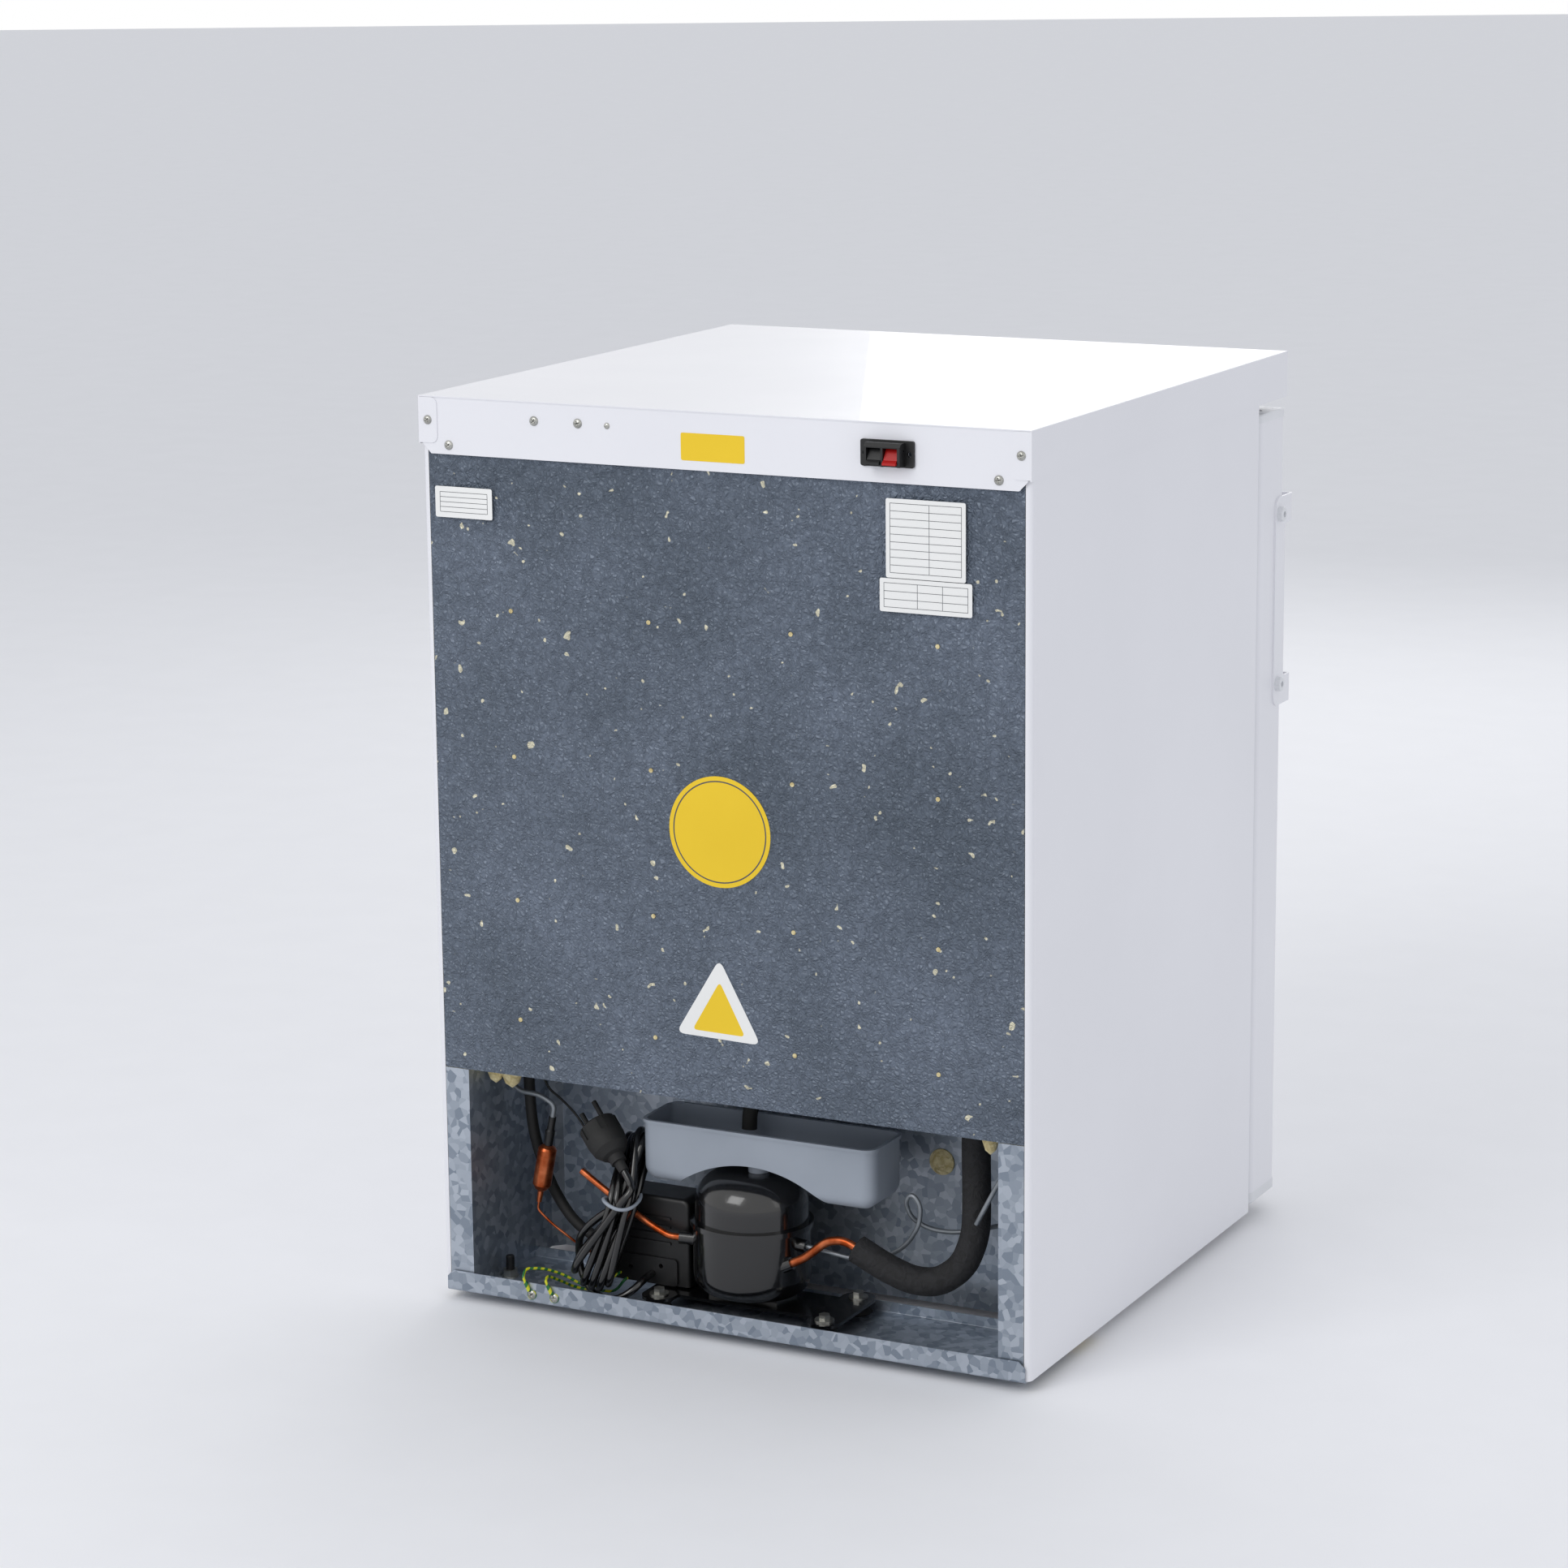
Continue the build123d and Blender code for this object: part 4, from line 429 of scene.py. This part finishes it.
def screwTree():
    tree = bpy.data.node_groups.new("pan_screws", "GeometryNodeTree")
    tree.interface.new_socket("Geometry", in_out="INPUT", socket_type="NodeSocketGeometry")
    radius = tree.interface.new_socket("Head radius", in_out="INPUT", socket_type="NodeSocketFloat")
    metal = tree.interface.new_socket("Metal", in_out="INPUT", socket_type="NodeSocketMaterial")
    tree.interface.new_socket("Geometry", in_out="OUTPUT", socket_type="NodeSocketGeometry")
    make, link = tree.nodes.new, tree.links.new
    given, result = make("NodeGroupInput"), make("NodeGroupOutput")
    dome = make("GeometryNodeMeshUVSphere")
    dome.inputs["Segments"].default_value = 32
    dome.inputs["Rings"].default_value = 16
    link(given.outputs["Head radius"], dome.inputs["Radius"])
    flat = make("GeometryNodeTransform")
    flat.inputs["Scale"].default_value = (1, screwHead["flatten"], 1)
    link(dome.outputs["Mesh"], flat.inputs["Geometry"])
    cut = make("GeometryNodeMeshBoolean")
    cut.operation = "DIFFERENCE"
    link(flat.outputs["Geometry"], cut.inputs["Mesh 1"])
    long, deep, wide = (screwHead[key] for key in ("slotLong", "slotDeep", "slotWide"))
    for size in ((long, deep, wide), (wide, deep, long)):
        bar = make("GeometryNodeMeshCube")
        bar.inputs["Size"].default_value = size
        sized = make("GeometryNodeTransform")
        scale = make("ShaderNodeCombineXYZ")
        for axis in ("X", "Y", "Z"):
            link(given.outputs["Head radius"], scale.inputs[axis])
        link(scale.outputs["Vector"], sized.inputs["Scale"])
        link(bar.outputs["Mesh"], sized.inputs["Geometry"])
        raised = make("GeometryNodeTransform")
        raised.inputs["Translation"].default_value = (0, screwHead["slotRise"], 0)
        link(sized.outputs["Geometry"], raised.inputs["Geometry"])
        link(raised.outputs["Geometry"], cut.inputs["Mesh 2"])
    place = make("GeometryNodeInstanceOnPoints")
    link(given.outputs["Geometry"], place.inputs["Points"])
    link(cut.outputs["Mesh"], place.inputs["Instance"])
    turn = make("FunctionNodeRandomValue")
    turn.data_type = "FLOAT"
    turn.inputs["Seed"].default_value = 4
    spin = make("ShaderNodeCombineXYZ")
    link(turn.outputs[1], spin.inputs["Y"])
    link(spin.outputs["Vector"], place.inputs["Rotation"])
    real, dress = make("GeometryNodeRealizeInstances"), make("GeometryNodeSetMaterial")
    link(place.outputs["Instances"], real.inputs["Geometry"])
    link(real.outputs["Geometry"], dress.inputs["Geometry"])
    link(given.outputs["Metal"], dress.inputs["Material"])
    link(dress.outputs["Geometry"], result.inputs["Geometry"])
    return tree, radius.identifier, metal.identifier


def placeScrews():
    tree, radiusInput, metalInput = screwTree()
    joined = bmesh.new()
    for group in screws.values():
        points = bpy.data.meshes.new("screw_points")
        points.from_pydata([spot(x, group["y"], z) for x, z in group["at"]], [], [])
        holder = bpy.data.objects.new("screw_points", points)
        bpy.context.scene.collection.objects.link(holder)
        modifier = holder.modifiers.new("screws", "NODES")
        modifier.node_group = tree
        modifier[radiusInput] = group["radius"] * mm
        modifier[metalInput] = finishes["zinc_steel"]
        seen = bpy.context.evaluated_depsgraph_get()
        made = bpy.data.meshes.new_from_object(holder.evaluated_get(seen))
        joined.from_mesh(made)
        bpy.data.objects.remove(holder)
    zinc = finishes["zinc_steel"]
    addMesh("pan_screws", joined, zinc, "cabinet", ("cover_screws",), True)


placeScrews()
print("screws made")

# Blank labels and stickers, as thin plates on the face that carries them
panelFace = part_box("back_panel")[1][1] / mm
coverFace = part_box("rear_cover")[1][1] / mm
labelThick = 0.25
labelSink = 0.05
sticker = {"middle": (2, 477), "radius": 50.5, "ringOuter": 46.5, "ringInner": 45.3}
yellow = finish("yellow_label", (0.95, 0.80, 0.12), 0.45, shade=0.03, patch=5, grain=700)
paper = finish("white_label", (0.94, 0.94, 0.93), 0.5, shade=0.015, patch=5, grain=1500)
ink = finish("grey_ink", (0.30, 0.31, 0.33), 0.5, shade=0.03)


def label(name, outline, face, material, lift=0):
    form = bmesh.new()
    addPrism(form, outline, face - labelSink, face + labelThick + lift)
    return addMesh(name, form, material, "cabinet")


def rectangle(left, right, low, high, radius=2):
    return roundedOutline([(left, low), (right, low), (right, high), (left, high)], radius)


def roundOutline(middle, radius, count=72):
    steps = [math.tau * i / count for i in range(count)]
    return [(middle[0] + radius * math.cos(a), middle[1] + radius * math.sin(a)) for a in steps]


def ruledLines(name, left, right, low, high, rows, columns, face):
    # Plain rules of a blank form
    form = bmesh.new()
    half = 0.22
    for i in range(rows + 1):
        z = low + (high - low) * i / rows
        outline = [(left, z - half), (right, z - half), (right, z + half), (left, z + half)]
        addPrism(form, outline, face, face + labelThick + 0.08)
    for share in columns:
        x = left + (right - left) * share
        outline = [(x - half, low), (x + half, low), (x + half, high), (x - half, high)]
        addPrism(form, outline, face, face + labelThick + 0.06)
    return addMesh(name, form, ink, "cabinet")


def placeLabels():
    label("round_sticker", roundOutline(sticker["middle"], sticker["radius"]), panelFace, yellow)
    ring = bmesh.new()
    outer = roundOutline(sticker["middle"], sticker["ringOuter"])
    inner = roundOutline(sticker["middle"], sticker["ringInner"])
    for i in range(len(outer)):
        j = (i + 1) % len(outer)
        corners = [outer[i], outer[j], inner[j], inner[i]]
        addPrism(ring, corners, panelFace, panelFace + labelThick + 0.06)
    bmesh.ops.remove_doubles(ring, verts=ring.verts, dist=1e-6)
    addMesh("sticker_ring", ring, ink, "cabinet")
    corners = [(48.7, 288), (4, 361), (-36.6, 286)]
    label("corner_label", roundedOutline(corners, 9), panelFace, paper)
    inside = [(32, 293), (4, 340), (-21, 292)]
    label("corner_label_patch", roundedOutline(inside, 5), panelFace, yellow, 0.06)
    label("yellow_strip", rectangle(-29, 33.5, 807.3, 831.5), coverFace, yellow)
    label("bar_label", rectangle(226, 285, 742, 770), coverFace, paper)
    label("form_label", rectangle(-239, -164, 717.6, 786), coverFace, paper)
    label("form_label_low", rectangle(-245, -158, 688, 717), coverFace, paper)
    ruledLines("bar_label_rules", 231, 280, 747, 765, 4, (0, 1), coverFace)
    ruledLines("form_rules", -235, -168, 722, 782, 9, (0, 0.45, 1), coverFace)
    ruledLines("form_rules_low", -241, -162, 692, 713, 3, (0, 0.3, 0.6, 1), coverFace)


placeLabels()
print("labels made")


# Studio: pale floor, white surround and soft light
lamps = {
    "key": {"place": (0.9, 3.2, 2.6), "aim": (0, 0.1, 0.4), "size": 1.8, "power": 38},
    "side": {"place": (-3.2, 0.6, 1.6), "aim": (-0.2, 0.1, 0.4), "size": 1.6, "power": 5},
    "front": {"place": (0.6, -3.0, 2.0), "aim": (0, -0.2, 0.4), "size": 1.8, "power": 14},
}
surround = {"floor": 40, "tone": (0.80, 0.82, 0.87, 1), "strength": 0.82}


def addLight(name, place, aim, size, power):
    lamp = bpy.data.lights.new(name, "AREA")
    lamp.size = size
    lamp.energy = power
    holder = bpy.data.objects.new(name, lamp)
    bpy.context.scene.collection.objects.link(holder)
    holder.location = place
    holder.rotation_euler = (Vector(aim) - Vector(place)).to_track_quat("-Z", "Y").to_euler()


def studio():
    form = bmesh.new()
    bmesh.ops.create_grid(form, x_segments=1, y_segments=1, size=surround["floor"])
    mesh = bpy.data.meshes.new("floor")
    form.to_mesh(mesh)
    form.free()
    floor = bpy.data.objects.new("floor", mesh)
    bpy.context.scene.collection.objects.link(floor)
    pale = finish("pale_floor", (0.96, 0.96, 0.965), 0.8, shade=0.005, depth=0.00001)
    floor.data.materials.append(pale)
    world = bpy.data.worlds.new("studio")
    bpy.context.scene.world = world
    world.use_nodes = True
    tree = world.node_tree
    make, link = tree.nodes.new, tree.links.new
    soft = tree.nodes["Background"]
    soft.inputs["Color"].default_value = surround["tone"]
    soft.inputs["Strength"].default_value = surround["strength"]
    white = make("ShaderNodeBackground")
    white.inputs["Color"].default_value = (1, 1, 1, 1)
    white.inputs["Strength"].default_value = 1
    rays = make("ShaderNodeLightPath")
    first, second = make("ShaderNodeMath"), make("ShaderNodeMath")
    first.operation = second.operation = "MAXIMUM"
    link(rays.outputs["Is Camera Ray"], first.inputs[0])
    link(rays.outputs["Is Glossy Ray"], first.inputs[1])
    link(first.outputs[0], second.inputs[0])
    link(rays.outputs["Is Transmission Ray"], second.inputs[1])
    mix = make("ShaderNodeMixShader")
    link(second.outputs[0], mix.inputs[0])
    link(soft.outputs[0], mix.inputs[1])
    link(white.outputs[0], mix.inputs[2])
    link(mix.outputs[0], tree.nodes["World Output"].inputs["Surface"])
    for name, lamp in lamps.items():
        addLight(name, **lamp)


studio()
print("studio lit")
